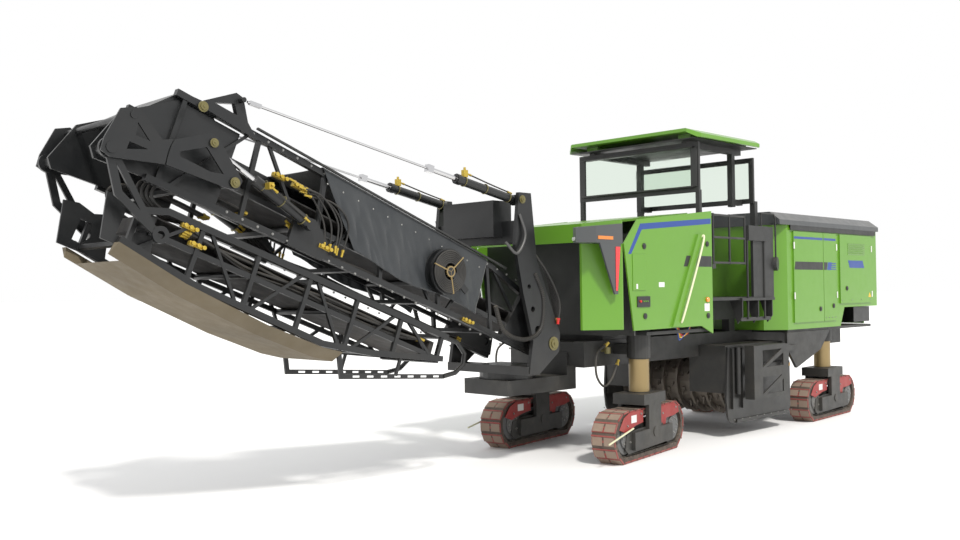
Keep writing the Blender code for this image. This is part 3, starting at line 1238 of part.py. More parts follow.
def lift_cylinders(slew, boom):
    """Barrel on the portal, rod with its taut rope up to the boom's rope bracket."""
    base_y = LIFT_BASE_Y - SLEW_Y
    bracket = boom_point(ROPE_U, ROPE_V)
    start = Vector((0, LIFT_BASE_Y, LIFT_BASE_Z))
    pull = (bracket - start).normalized()
    angle = math.atan2(-pull.z, -pull.y)
    length = (LIFT_BASE_Y - LIFT_EYE_Y) / math.cos(angle)
    whole = (bracket - start).length
    for side in (1, -1):
        name = side_name(side)
        axis = axis_empty(f"lift_cylinder_axis_{name}", (side * PIN_X, base_y, LIFT_BASE_Z), slew, (angle, 0, 0))
        eye = BARREL_EYE
        barrel = [rod((0, -EYE_NECK, 0), (0, -length + LIFT_SPARE, 0), LIFT_BARREL, 16), rod((-eye, 0, 0), (eye, 0, 0), 0.062, 16)]
        collar = rod((0, -length + LIFT_SPARE + 0.07, 0), (0, -length + LIFT_SPARE + 0.01, 0), LIFT_BARREL + 0.008, 16)
        bore = rod((0, -0.15, 0), (0, -length - 0.1, 0), bore_radius(LIFT_ROD, 16), 16)
        piece(f"lift_barrel_{name}", "charcoal", axis, [*barrel, collar], [bore])
        rod_axis = axis_empty(f"lift_rod_axis_{name}", (0, -length, 0), axis)
        rope = whole - length - ROPE_GAP
        shapes = [
            rod((0, 0.8, 0), (0, -0.063, 0), LIFT_ROD, 12),
            box((-0.032, -0.11, -0.04), (0.032, -0.03, 0.04)),
            rod((0, -0.09, 0), (0, -rope, 0), 0.013, 8),
            box((-0.02, -rope + 0.02, -0.018), (0.02, -rope + 0.14, 0.018)),
        ]
        piece(f"lift_rod_{name}", "steel", rod_axis, shapes)


def fold_linkage(boom):
    """The slotted crank plates with their cross tubes, and the fold cylinders that turn them."""
    crank_axis = axis_empty("crank_axis", (0, -CRANK_PIN[0], CRANK_PIN[1]), boom)

    def local(u, v):
        return (CRANK_PIN[0] - u, v - CRANK_PIN[1])

    turns = (0.16, 0.08, 0.0, -0.1, -0.2)
    plate = [
        *[(-CRANK_REACH * math.cos(turn), CRANK_REACH * math.sin(turn)) for turn in turns],
        local(4.55, -0.085),
        local(4.45, -0.06),
        local(4.44, 0.04),
        local(4.79, 0.29),
        local(4.87, 0.29),
    ]
    window = [local(5.07, 0.02), local(4.86, 0.165), local(4.63, 0.015), local(4.75, -0.02), local(5.06, -0.02)]
    outer = PLATE_X + CRANK_PLATE
    shapes = [rod((-outer - 0.01, 0, 0), (outer + 0.01, 0, 0), CRANK_ROD, 16)]
    for side in (-1, 1):
        low, high = sorted((side * PLATE_X, side * outer))
        shapes.append(outline(plate, low, high, holes=[window]))
        low, high = sorted((side * (CYLINDER_X + 0.025 + SEAT), side * (outer + 0.012)))
        shapes.append(rod((low, *local(*CRANK_EYE)), (high, *local(*CRANK_EYE)), 0.04, 14))
    piece("fold_crank", "black", crank_axis, shapes)

    base = along(*FOLD_BASE)
    eye = along(*CRANK_EYE)
    run = Vector((0, eye[0] - base[0], eye[1] - base[1]))
    angle = math.atan2(-run.z, -run.y)
    for side in (1, -1):
        name = side_name(side)
        x = side * CYLINDER_X
        axis = axis_empty(f"fold_cylinder_axis_{name}", (x, *base), boom, (angle, 0, 0))
        barrel = [
            rod((0, -EYE_NECK, 0), (0, -FOLD_BARREL, 0), FOLD_BARREL_RADIUS, 16),
            rod((-BARREL_EYE, 0, 0), (BARREL_EYE, 0, 0), 0.058, 16),
        ]
        bore = rod((0, -0.1, 0), (0, -FOLD_BARREL - 0.2, 0), bore_radius(FOLD_ROD, 16), 16)
        piece(f"fold_barrel_{name}", "charcoal", axis, barrel, [bore])
        rod_axis = axis_empty(f"fold_rod_axis_{name}", (0, -run.length, 0), axis)
        shapes = [rod((0, 0, 0), (0, run.length - 0.45, 0), FOLD_ROD, 12), rod((-0.025, 0, 0), (0.025, 0, 0), 0.042, 14)]
        piece(f"fold_rod_{name}", "steel", rod_axis, shapes)


def conveyor(root):
    slew = slew_frame(root)
    boom = rear_boom(slew)
    front_boom(boom)
    lift_cylinders(slew, boom)
    fold_linkage(boom)


def cold_planer():
    root = axis_empty("machine", (0, MID_SHIFT, 0))
    main_frame(root)
    legs(root)
    milling_unit(root)
    front_body(root)
    lamp_caps(root)
    platform(root)
    canopy(root)
    rear_body(root)
    doors(root)
    ladders(root)
    conveyor(root)


cold_planer()
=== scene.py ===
# %% [markdown]
# # A cold planer, dressed on its fixed frame
# A cold planer mills worn asphalt off a road and throws it into a lorry over a folding conveyor.
# The shapes that carry load are already made. This script adds what the eye looks for: paint with
# dust on it, bolts, hoses, track shoes, the tarpaulin, lamps and the drum's picks.

# %% Load the frame
import json
import math

import bmesh
import bpy
from mathutils import Matrix, Vector

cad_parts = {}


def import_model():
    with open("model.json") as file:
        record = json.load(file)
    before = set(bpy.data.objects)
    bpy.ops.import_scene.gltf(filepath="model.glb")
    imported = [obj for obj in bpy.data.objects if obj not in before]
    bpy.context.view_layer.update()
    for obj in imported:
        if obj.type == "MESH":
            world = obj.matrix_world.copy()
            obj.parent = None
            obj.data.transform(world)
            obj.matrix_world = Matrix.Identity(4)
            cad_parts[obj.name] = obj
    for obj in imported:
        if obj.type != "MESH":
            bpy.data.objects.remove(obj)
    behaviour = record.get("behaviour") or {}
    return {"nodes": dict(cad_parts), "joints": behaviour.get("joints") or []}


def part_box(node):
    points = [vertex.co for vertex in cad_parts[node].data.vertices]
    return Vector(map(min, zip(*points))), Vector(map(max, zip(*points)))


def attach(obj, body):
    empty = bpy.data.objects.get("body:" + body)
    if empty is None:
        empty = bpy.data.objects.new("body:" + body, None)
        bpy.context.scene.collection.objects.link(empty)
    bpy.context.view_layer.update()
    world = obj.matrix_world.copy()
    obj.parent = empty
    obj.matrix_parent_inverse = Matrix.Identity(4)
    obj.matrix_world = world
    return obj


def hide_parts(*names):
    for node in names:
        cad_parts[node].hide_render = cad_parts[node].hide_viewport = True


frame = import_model()
scene = bpy.context.scene
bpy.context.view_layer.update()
axes = {joint["name"]: Vector(joint.get("pos_m") or (0, 0, 0)) for joint in frame["joints"]}

# %% [markdown]
# ## Where the conveyor is
# Everything on the boom is easier to place along it than in the world, so `on_boom` turns a
# distance from the boom's foot (u) and a height square to it (v) into a world place. The folded
# front section lies under the boom, so the same rule serves both.

# %% Places on the boom
BOOM_TILT = math.radians(21)
boom_foot = axes["conveyor_lift"]
SIDES = ((1, "left"), (-1, "right"))
LEGS = ("front_left", "front_right", "rear_left", "rear_right")


def on_boom(x, u, v):
    y = boom_foot.y - u * math.cos(BOOM_TILT) + v * math.sin(BOOM_TILT)
    z = boom_foot.z + u * math.sin(BOOM_TILT) + v * math.cos(BOOM_TILT)
    return Vector((x, y, z))


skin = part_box("door_rear_left")[1].x
print("boom foot", boom_foot[:], "skin at", round(skin, 3))

# %% [markdown]
# ## Shared shader effects
# Several finishes on this machine share two effects, so each is a node group with named sockets.
# *Dusting* lays pale road dust where a surface faces up and in patches near the ground.
# *Edge wear* finds edges by comparing a rounded normal with the true one, and breaks the line up
# with noise so that it looks rubbed and not drawn.


# %% Helpers for node trees
def place_node(tree, kind, **values):
    node = tree.nodes.new(kind)
    for name, value in values.items():
        setattr(node, name, value)
    return node


def feed(tree, socket, value):
    """Sets a socket to a number or a colour, or joins it to another socket."""
    if isinstance(value, bpy.types.NodeSocket):
        tree.links.new(value, socket)
    else:
        socket.default_value = value


def math_node(tree, operation, first, second=0.0, clamp=False):
    node = place_node(tree, "ShaderNodeMath", operation=operation, use_clamp=clamp)
    feed(tree, node.inputs[0], first)
    feed(tree, node.inputs[1], second)
    return node.outputs[0]


def noise(tree, place, scale, detail=4.0, roughness=0.55):
    node = place_node(tree, "ShaderNodeTexNoise")
    feed(tree, node.inputs["Vector"], place)
    feed(tree, node.inputs["Scale"], scale)
    node.inputs["Detail"].default_value = detail
    node.inputs["Roughness"].default_value = roughness
    return node.outputs["Fac"]


def between(tree, value, low, high, to_low=0.0, to_high=1.0):
    node = place_node(tree, "ShaderNodeMapRange", clamp=True)
    feed(tree, node.inputs["Value"], value)
    for name, number in (("From Min", low), ("From Max", high), ("To Min", to_low), ("To Max", to_high)):
        feed(tree, node.inputs[name], number)
    return node.outputs["Result"]


def mix_colour(tree, share, first, second):
    node = place_node(tree, "ShaderNodeMix", data_type="RGBA")
    feed(tree, node.inputs["Factor"], share)
    feed(tree, node.inputs["A"], first)
    feed(tree, node.inputs["B"], second)
    return node.outputs["Result"]


def new_group(name, takes, gives):
    group = bpy.data.node_groups.new(name, "ShaderNodeTree")
    for label, kind, default in takes:
        socket = group.interface.new_socket(label, in_out="INPUT", socket_type=kind)
        socket.default_value = default
    for label, kind in gives:
        group.interface.new_socket(label, in_out="OUTPUT", socket_type=kind)
    return group, place_node(group, "NodeGroupInput"), place_node(group, "NodeGroupOutput")


# %% The dusting group
def make_dusting():
    takes = (
        ("Colour", "NodeSocketColor", (0.5, 0.5, 0.5, 1)),
        ("Roughness", "NodeSocketFloat", 0.5),
        ("Dust", "NodeSocketColor", (0.34, 0.29, 0.22, 1)),
        ("Amount", "NodeSocketFloat", 0.4),
        ("Patches", "NodeSocketFloat", 3.0),
    )
    gives = (("Colour", "NodeSocketColor"), ("Roughness", "NodeSocketFloat"), ("Height", "NodeSocketFloat"))
    group, taken, given = new_group("Dusting", takes, gives)
    place = place_node(group, "ShaderNodeTexCoord").outputs["Object"]
    facing = place_node(group, "ShaderNodeSeparateXYZ")
    feed(group, facing.inputs[0], place_node(group, "ShaderNodeNewGeometry").outputs["Normal"])
    height = place_node(group, "ShaderNodeSeparateXYZ")
    feed(group, height.inputs[0], place)
    upward = between(group, facing.outputs["Z"], 0.25, 0.95)
    low_down = between(group, height.outputs["Z"], 0.0, 1.9, 0.75, 0.12)
    patch = between(group, noise(group, place, taken.outputs["Patches"], 6.0, 0.65), 0.38, 0.72)
    grain = noise(group, place, 90.0, 3.0)
    share = math_node(group, "ADD", math_node(group, "MULTIPLY", upward, 0.75), low_down)
    share = math_node(
        group, "MULTIPLY", share, math_node(group, "ADD", math_node(group, "MULTIPLY", patch, 0.8), 0.25),
    )
    share = math_node(group, "MULTIPLY", share, math_node(group, "ADD", grain, 0.35))
    share = math_node(group, "MULTIPLY", share, taken.outputs["Amount"], clamp=True)
    feed(
        group, given.inputs["Colour"],
        mix_colour(group, share, taken.outputs["Colour"], taken.outputs["Dust"]),
    )
    rough = math_node(
        group, "ADD", taken.outputs["Roughness"], math_node(group, "MULTIPLY", share, 0.5), clamp=True,
    )
    feed(group, given.inputs["Roughness"], rough)
    feed(group, given.inputs["Height"], math_node(group, "MULTIPLY", share, grain))
    return group


# %% The edge wear group
def make_edge_wear():
    takes = (
        ("Colour", "NodeSocketColor", (0.5, 0.5, 0.5, 1)),
        ("Bare", "NodeSocketColor", (0.3, 0.3, 0.3, 1)),
        ("Width", "NodeSocketFloat", 0.006),
        ("Amount", "NodeSocketFloat", 0.6),
    )
    gives = (("Colour", "NodeSocketColor"), ("Mask", "NodeSocketFloat"))
    group, taken, given = new_group("Edge wear", takes, gives)
    place = place_node(group, "ShaderNodeTexCoord").outputs["Object"]
    rounded = place_node(group, "ShaderNodeBevel", samples=4)
    feed(group, rounded.inputs["Radius"], taken.outputs["Width"])
    compare = place_node(group, "ShaderNodeVectorMath", operation="DOT_PRODUCT")
    feed(group, compare.inputs[0], rounded.outputs[0])
    feed(group, compare.inputs[1], place_node(group, "ShaderNodeNewGeometry").outputs["Normal"])
    edge = between(group, compare.outputs["Value"], 0.99, 0.8)
    broken = between(group, noise(group, place, 26.0, 8.0, 0.7), 0.45, 0.62)
    mask = math_node(
        group, "MULTIPLY", math_node(group, "MULTIPLY", edge, broken), taken.outputs["Amount"], clamp=True,
    )
    feed(
        group, given.inputs["Colour"],
        mix_colour(group, mask, taken.outputs["Colour"], taken.outputs["Bare"]),
    )
    feed(group, given.inputs["Mask"], mask)
    return group


DUSTING = make_dusting()
EDGE_WEAR = make_edge_wear()
print("shader groups:", [group.name for group in (DUSTING, EDGE_WEAR)])

# %% [markdown]
# ## Finishes
# Every painted finish is built the same way from its own numbers: a colour that drifts a little,
# wear on its edges, dust on top, and a bump with the fine orange peel of sprayed paint.


# %% A painted or worn finish
def finish_of(name, colour, roughness, dust=0.4, wear=0.5, bare=(0.3, 0.29, 0.27), metallic=0.0, coat=0.0,
              drift=0.12, grain=220.0, bump=0.15, patches=3.0, wear_width=0.006,
              dust_colour=(0.34, 0.29, 0.22)):
    material = bpy.data.materials.new(name)
    material.use_nodes = True
    tree = material.node_tree
    shader = tree.nodes["Principled BSDF"]
    place = place_node(tree, "ShaderNodeTexCoord").outputs["Object"]
    darker = tuple(c * (1 - drift) for c in colour) + (1,)
    lighter = tuple(min(1, c * (1 + drift)) for c in colour) + (1,)
    base = mix_colour(tree, noise(tree, place, 1.7, 5.0), darker, lighter)
    worn = place_node(tree, "ShaderNodeGroup", node_tree=EDGE_WEAR)
    feed(tree, worn.inputs["Colour"], base)
    feed(tree, worn.inputs["Bare"], (*bare, 1))
    feed(tree, worn.inputs["Width"], wear_width)
    feed(tree, worn.inputs["Amount"], wear)
    dusted = place_node(tree, "ShaderNodeGroup", node_tree=DUSTING)
    feed(tree, dusted.inputs["Colour"], worn.outputs["Colour"])
    feed(
        tree, dusted.inputs["Roughness"],
        between(tree, noise(tree, place, 7.0, 6.0), 0.3, 0.7, roughness * 0.85, roughness * 1.2),
    )
    feed(tree, dusted.inputs["Dust"], (*dust_colour, 1))
    feed(tree, dusted.inputs["Amount"], dust)
    feed(tree, dusted.inputs["Patches"], patches)
    feed(tree, shader.inputs["Base Color"], dusted.outputs["Colour"])
    feed(tree, shader.inputs["Roughness"], dusted.outputs["Roughness"])
    shader.inputs["Metallic"].default_value = metallic
    shader.inputs["Coat Weight"].default_value = coat
    shader.inputs["Coat Roughness"].default_value = 0.12
    relief = place_node(tree, "ShaderNodeBump")
    relief.inputs["Strength"].default_value = bump
    relief.inputs["Distance"].default_value = 0.002
    lumps = math_node(tree, "ADD", noise(tree, place, grain, 2.0), dusted.outputs["Height"])
    feed(tree, relief.inputs["Height"], lumps)
    feed(tree, shader.inputs["Normal"], relief.outputs[0])
    return material


LIME = finish_of(
    "lime_enamel", (0.105, 0.265, 0.018), 0.33, dust=0.1, wear=0.12, bare=(0.08, 0.15, 0.04), coat=0.2,
    drift=0.06, bump=0.05,
)
CHARCOAL = finish_of(
    "charcoal_satin", (0.019, 0.02, 0.02), 0.45, dust=0.16, wear=0.4, bare=(0.11, 0.11, 0.1), bump=0.2,
)
HOOD_GREY = finish_of(
    "hood_grey_satin", (0.05, 0.055, 0.058), 0.38, dust=0.18, wear=0.2, bare=(0.2, 0.2, 0.2), coat=0.2,
    bump=0.12,
)
BOOM_BLACK = finish_of(
    "boom_black_satin", (0.006, 0.007, 0.008), 0.36, dust=0.1, wear=0.5, bare=(0.07, 0.07, 0.07), coat=0.1,
    bump=0.18,
)
CRAWLER_RED = finish_of(
    "crawler_red_worn", (0.26, 0.008, 0.01), 0.45, dust=0.25, wear=0.6, bare=(0.15, 0.11, 0.1), bump=0.25,
    patches=6.0,
)
SHOE_STEEL = finish_of(
    "shoe_steel_dirty", (0.055, 0.035, 0.032), 0.6, dust=0.55, wear=0.9, bare=(0.33, 0.3, 0.27),
    metallic=0.3, bump=0.5, patches=9.0,
)
RUBBER = finish_of(
    "hose_rubber", (0.014, 0.014, 0.014), 0.55, dust=0.4, wear=0.0, drift=0.2, grain=320.0, bump=0.3,
)
CHROME = finish_of("rod_chrome", (0.6, 0.6, 0.61), 0.16, dust=0.12, wear=0.0, metallic=1.0, bump=0.03)
ZINC = finish_of(
    "fitting_zinc_yellow", (0.5, 0.36, 0.05), 0.35, dust=0.35, wear=0.4, bare=(0.5, 0.48, 0.42),
    metallic=0.6, bump=0.2,
)
OLIVE = finish_of(
    "olive_plating", (0.17, 0.15, 0.06), 0.38, dust=0.35, wear=0.4, bare=(0.4, 0.38, 0.3), metallic=0.55,
    bump=0.2,
)
BOLT_STEEL = finish_of(
    "bolt_steel", (0.3, 0.3, 0.29), 0.35, dust=0.35, wear=0.3, bare=(0.5, 0.5, 0.5), metallic=0.85,
    bump=0.15,
)
BRONZE = finish_of(
    "leg_tube_bronze", (0.3, 0.22, 0.1), 0.36, dust=0.2, wear=0.1, bare=(0.5, 0.4, 0.25), metallic=0.55,
    bump=0.25,
)
TAN = finish_of(
    "tray_tan_dusty", (0.13, 0.105, 0.066), 0.75, dust=0.35, wear=0.3, bare=(0.07, 0.055, 0.04), drift=0.3,
    bump=0.4, patches=5.0,
)
DRUM_STEEL = finish_of(
    "drum_steel", (0.18, 0.16, 0.14), 0.5, dust=0.5, wear=0.8, bare=(0.45, 0.43, 0.4), metallic=0.8,
    bump=0.5,
)
ENGINE_GREY = finish_of(
    "engine_casting", (0.1, 0.105, 0.11), 0.55, dust=0.3, wear=0.3, bump=0.6, grain=120.0,
)
BLUE = finish_of("stripe_blue", (0.006, 0.045, 0.24), 0.35, dust=0.1, wear=0.0, coat=0.2, bump=0.05)
WHITE = finish_of("label_white", (0.68, 0.68, 0.66), 0.4, dust=0.3, wear=0.0, bump=0.05)
CREAM = finish_of(
    "rail_cream", (0.62, 0.62, 0.42), 0.35, dust=0.25, wear=0.2, bare=(0.3, 0.3, 0.25), bump=0.06,
)
SAFETY_RED = finish_of("safety_red", (0.5, 0.018, 0.015), 0.32, dust=0.2, wear=0.1, bump=0.06)
YELLOW = finish_of("marker_yellow", (0.75, 0.42, 0.02), 0.35, dust=0.25, wear=0.1, bump=0.06)
BELT = finish_of(
    "belt_rubber", (0.028, 0.028, 0.03), 0.7, dust=0.6, wear=0.2, bare=(0.1, 0.1, 0.1), bump=0.5,
    grain=140.0,
)
ROPE = finish_of(
    "rope_steel", (0.1, 0.1, 0.1), 0.4, dust=0.2, wear=0.0, metallic=0.6, bump=0.5, grain=420.0,
)
print("finishes:", len(bpy.data.materials))

# %% [markdown]
# ## Clear and lit finishes
# A lens is a ribbed, saturated colour under a clear coat, which gives depth with few nodes. The
# screens are tinted glass that keeps a plain transmission.


# %% Lenses and glass
def lens_of(name, colour, glow=0.0):
    material = bpy.data.materials.new(name)
    material.use_nodes = True
    tree = material.node_tree
    shader = tree.nodes["Principled BSDF"]
    place = place_node(tree, "ShaderNodeTexCoord").outputs["Object"]
    ribs = place_node(tree, "ShaderNodeTexWave")
    feed(tree, ribs.inputs["Vector"], place)
    ribs.inputs["Scale"].default_value = 40.0
    shade = mix_colour(tree, ribs.outputs["Fac"], tuple(c * 0.6 for c in colour) + (1,), (*colour, 1))
    feed(tree, shader.inputs["Base Color"], shade)
    shader.inputs["Roughness"].default_value = 0.12
    shader.inputs["Coat Weight"].default_value = 0.8
    if glow:
        shader.inputs["Emission Color"].default_value = (*colour, 1)
        shader.inputs["Emission Strength"].default_value = glow
    return material


def screen_glass():
    material = bpy.data.materials.new("screen_glass")
    material.use_nodes = True
    tree = material.node_tree
    shader = tree.nodes["Principled BSDF"]
    place = place_node(tree, "ShaderNodeTexCoord").outputs["Object"]
    film = between(tree, noise(tree, place, 4.0, 6.0), 0.4, 0.7, 0.02, 0.16)
    feed(tree, shader.inputs["Roughness"], film)
    shader.inputs["Base Color"].default_value = (0.78, 0.86, 0.78, 1)
    shader.inputs["Transmission Weight"].default_value = 1.0
    shader.inputs["IOR"].default_value = 1.12
    return material


RED_LENS = lens_of("lens_red", (0.62, 0.02, 0.02), 0.15)
ORANGE_LENS = lens_of("lens_orange", (0.85, 0.25, 0.02), 0.15)
CLEAR_LENS = lens_of("lens_clear", (0.75, 0.76, 0.74), 0.1)
GLASS = screen_glass()

# %% [markdown]
# ## Dressing the fixed shapes
# A node keeps its mesh and takes a better finish. The shapes are loose flat triangles, so the
# finishes above read places in the object's own space and never a UV map.

# %% Finishes for the frame's nodes
NODE_FINISHES = (
    ("front_cowl side_panel door_ canopy_roof rear_shell", LIME),
    ("engine_hood lamp_cap", HOOD_GREY),
    ("leg_sleeve main_frame canopy_frame platform gate_ skirt_ console yoke_ drum_housing", CHARCOAL),
    (
        "slew_frame boom_ fold_crank fold_barrel lift_barrel hose_reel side_plate rear_box scraper",
        BOOM_BLACK,
    ),
    ("lift_rod fold_rod", CHROME),
    ("track_", SHOE_STEEL),
    ("belt_", BELT),
    ("front_cover", TAN),
    ("milling_drum", DRUM_STEEL),
    ("engine", ENGINE_GREY),
    ("windshield_glass rear_glass", GLASS),
)


def finish_for(node):
    """The finish whose prefix fits the node's name most closely."""
    fits = [
        (len(prefix), finish)
        for words, finish in NODE_FINISHES for prefix in words.split() if node.startswith(prefix)
    ]
    return max(fits, key=lambda fit: fit[0])[1]


for node, obj in frame["nodes"].items():
    for slot in obj.material_slots:
        slot.material = finish_for(node)
print("dressed", len(frame["nodes"]), "nodes")

# %% [markdown]
# ## Small shapes
# Most fittings are a handful of blocks, bars and bent pipes with softened edges. They are added to
# one mesh and finished together, which keeps one material and one body for each piece.


# %% Blocks, bars, plates and pipes
def add_block(shape, low, high):
    low, high = Vector(low), Vector(high)
    size = Matrix.Diagonal((*(high - low), 1))
    bmesh.ops.create_cube(shape, size=1, matrix=Matrix.Translation((low + high) / 2) @ size)


def add_bar(shape, start, end, radius, sides=16, tip=None):
    start, end = Vector(start), Vector(end)
    run = end - start
    turn = run.to_track_quat("Z", "Y").to_matrix().to_4x4()
    bmesh.ops.create_cone(
        shape, cap_ends=True, segments=sides, radius1=radius, radius2=radius if tip is None else tip,
        depth=run.length, matrix=Matrix.Translation((start + end) / 2) @ turn,
    )


def add_beam(shape, start, end, width, depth):
    start, end = Vector(start), Vector(end)
    run = (end - start).normalized()
    side = run.cross(Vector((0, 0, 1)) if abs(run.z) < 0.99 else Vector((0, 1, 0))).normalized()
    turn = Matrix((side, run, side.cross(run))).transposed().to_4x4()
    size = Matrix.Diagonal((width, (end - start).length, depth, 1))
    bmesh.ops.create_cube(shape, size=1, matrix=Matrix.Translation((start + end) / 2) @ turn @ size)


def add_plate(shape, points, push):
    """A plate from a loop of corners, pushed out along a vector."""
    corners = [shape.verts.new(point) for point in points]
    face = shape.faces.new(corners)
    pushed = bmesh.ops.extrude_face_region(shape, geom=[face])
    fresh = [item for item in pushed["geom"] if isinstance(item, bmesh.types.BMVert)]
    bmesh.ops.translate(shape, verts=fresh, vec=Vector(push))


def add_ring(shape, centre, across, radius, thickness, sides=28, round_sides=8):
    """A torus about the direction across."""
    turn = Vector(across).to_track_quat("Z", "Y").to_matrix().to_4x4()
    place = Matrix.Translation(centre) @ turn
    loops = []
    for k in range(sides):
        a = math.tau * k / sides
        loop = []
        for m in range(round_sides):
            b = math.tau * m / round_sides
            reach = radius + thickness * math.cos(b)
            loop.append(
                shape.verts.new(
                    place @ Vector((reach * math.cos(a), reach * math.sin(a), thickness * math.sin(b)))
                )
            )
        loops.append(loop)
    for k, loop in enumerate(loops):
        after = loops[(k + 1) % sides]
        for m in range(round_sides):
            n = (m + 1) % round_sides
            shape.faces.new((loop[m], after[m], after[n], loop[n]))


def add_pipe(shape, points, radius, sides=8):
    """A bent pipe swept along the points, with flat ends."""
    path = [Vector(point) for point in points]
    loops = []
    up = Vector((0, 0, 1))
    for k, point in enumerate(path):
        before = path[max(0, k - 1)]
        after = path[min(len(path) - 1, k + 1)]
        ahead = (after - before).normalized()
        side = ahead.cross(up)
        if side.length < 0.05:
            side = ahead.cross(Vector((0, 1, 0)))
        side.normalize()
        up = side.cross(ahead).normalized()
        loops.append([
            shape.verts.new(
                point + radius * (
                    side * math.cos(math.tau * m / sides) + up * math.sin(math.tau * m / sides)
                )
            )
            for m in range(sides)
        ])
    for first, second in zip(loops, loops[1:]):
        for m in range(sides):
            n = (m + 1) % sides
            shape.faces.new((first[m], first[n], second[n], second[m]))
    shape.faces.new(list(reversed(loops[0])))
    shape.faces.new(loops[-1])


def smooth_path(points, steps=8):
    """A Catmull-Rom curve through the points."""
    path = [Vector(point) for point in points]
    path = [path[0] * 2 - path[1], *path, path[-1] * 2 - path[-2]]
    made = []
    for a, b, c, d in zip(path, path[1:], path[2:], path[3:]):
        for k in range(steps):
            t = k / steps
            made.append(
                0.5 * (
                    2 * b + (c - a) * t + (
                        2 * a - 5 * b + 4 * c - d
                    ) * t * t + (3 * b - a - 3 * c + d) * t ** 3
                )
            )
    made.append(path[-2])
    return made


def close_piece(shape, name, body, material, bevel=0.0, smooth=40):
    """Turns the mesh outwards, softens its edges, dresses it and lets it ride on its body."""
    bmesh.ops.recalc_face_normals(shape, faces=shape.faces)
    mesh = bpy.data.meshes.new(name)
    shape.to_mesh(mesh)
    shape.free()
    obj = bpy.data.objects.new(name, mesh)
    scene.collection.objects.link(obj)
    mesh.materials.append(material)
    mesh.shade_smooth()
    mesh.set_sharp_from_angle(angle=math.radians(smooth))
    if bevel:
        rounding = obj.modifiers.new("softened edges", "BEVEL")
        rounding.width = bevel
        rounding.segments = 2
        rounding.limit_method = "ANGLE"
        rounding.angle_limit = math.radians(50)
    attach(obj, body)
    return obj


# %% [markdown]
# ## Geometry Nodes for what repeats
# Bolts, track shoes, slats and picks repeat by the dozen. One small node tree places an instance
# on every point of a mesh and turns it by the point's own `facing`, so the same tree serves
# anything that is fixed to a surface. Realize Instances and Set Material end the tree, and the
# result is stored as a plain mesh.


# %% The tree that sets a part on each point
def socket_in(tree, name, kind, default=None):
    socket = tree.interface.new_socket(name, in_out="INPUT", socket_type=kind)
    if default is not None:
        socket.default_value = default
    return socket


def make_placing_tree():
    tree = bpy.data.node_groups.new("Set a part on each point", "GeometryNodeTree")
    socket_in(tree, "Points", "NodeSocketGeometry")
    socket_in(tree, "Part", "NodeSocketObject")
    socket_in(tree, "Size", "NodeSocketFloat", 1.0)
    socket_in(tree, "Size spread", "NodeSocketFloat", 0.0)
    socket_in(tree, "Turn spread", "NodeSocketFloat", 0.0)
    socket_in(tree, "Seed", "NodeSocketInt", 3)
    socket_in(tree, "Finish", "NodeSocketMaterial")
    tree.interface.new_socket("Parts", in_out="OUTPUT", socket_type="NodeSocketGeometry")
    taken, given = place_node(tree, "NodeGroupInput"), place_node(tree, "NodeGroupOutput")
    part = place_node(tree, "GeometryNodeObjectInfo", transform_space="ORIGINAL")
    feed(tree, part.inputs["Object"], taken.outputs["Part"])
    facing = place_node(tree, "GeometryNodeInputNamedAttribute", data_type="FLOAT_VECTOR")
    facing.inputs["Name"].default_value = "facing"
    along = place_node(tree, "GeometryNodeInputNamedAttribute", data_type="FLOAT_VECTOR")
    along.inputs["Name"].default_value = "along"
    stand = place_node(tree, "FunctionNodeAlignRotationToVector", axis="Z")
    feed(tree, stand.inputs["Vector"], facing.outputs["Attribute"])
    turned = place_node(tree, "FunctionNodeAlignRotationToVector", axis="X", pivot_axis="Z")
    feed(tree, turned.inputs["Rotation"], stand.outputs[0])
    feed(tree, turned.inputs["Vector"], along.outputs["Attribute"])
    spin = place_node(tree, "FunctionNodeRandomValue", data_type="FLOAT")
    feed(tree, spin.inputs["Seed"], taken.outputs["Seed"])
    feed(tree, spin.inputs[3], taken.outputs["Turn spread"])
    about = place_node(tree, "FunctionNodeAxisAngleToRotation")
    about.inputs["Axis"].default_value = (0, 0, 1)
    feed(tree, about.inputs["Angle"], spin.outputs[1])
    whole = place_node(tree, "FunctionNodeRotateRotation", rotation_space="LOCAL")
    feed(tree, whole.inputs[0], turned.outputs[0])
    feed(tree, whole.inputs[1], about.outputs[0])
    spread = place_node(tree, "FunctionNodeRandomValue", data_type="FLOAT")
    feed(tree, spread.inputs["Seed"], taken.outputs["Seed"])
    feed(tree, spread.inputs[3], taken.outputs["Size spread"])
    size = math_node(tree, "ADD", taken.outputs["Size"], spread.outputs[1])
    setting = place_node(tree, "GeometryNodeInstanceOnPoints")
    feed(tree, setting.inputs["Points"], taken.outputs["Points"])
    feed(tree, setting.inputs["Instance"], part.outputs["Geometry"])
    feed(tree, setting.inputs["Rotation"], whole.outputs[0])
    feed(tree, setting.inputs["Scale"], size)
    real = place_node(tree, "GeometryNodeRealizeInstances")
    feed(tree, real.inputs[0], setting.outputs[0])
    dress = place_node(tree, "GeometryNodeSetMaterial")
    feed(tree, dress.inputs["Geometry"], real.outputs[0])
    feed(tree, dress.inputs["Material"], taken.outputs["Finish"])
    feed(tree, given.inputs[0], dress.outputs[0])
    return tree


PLACING = make_placing_tree()


def set_input(modifier, name, value):
    for item in modifier.node_group.interface.items_tree:
        if item.item_type == "SOCKET" and item.in_out == "INPUT" and item.name == name:
            modifier[item.identifier] = value


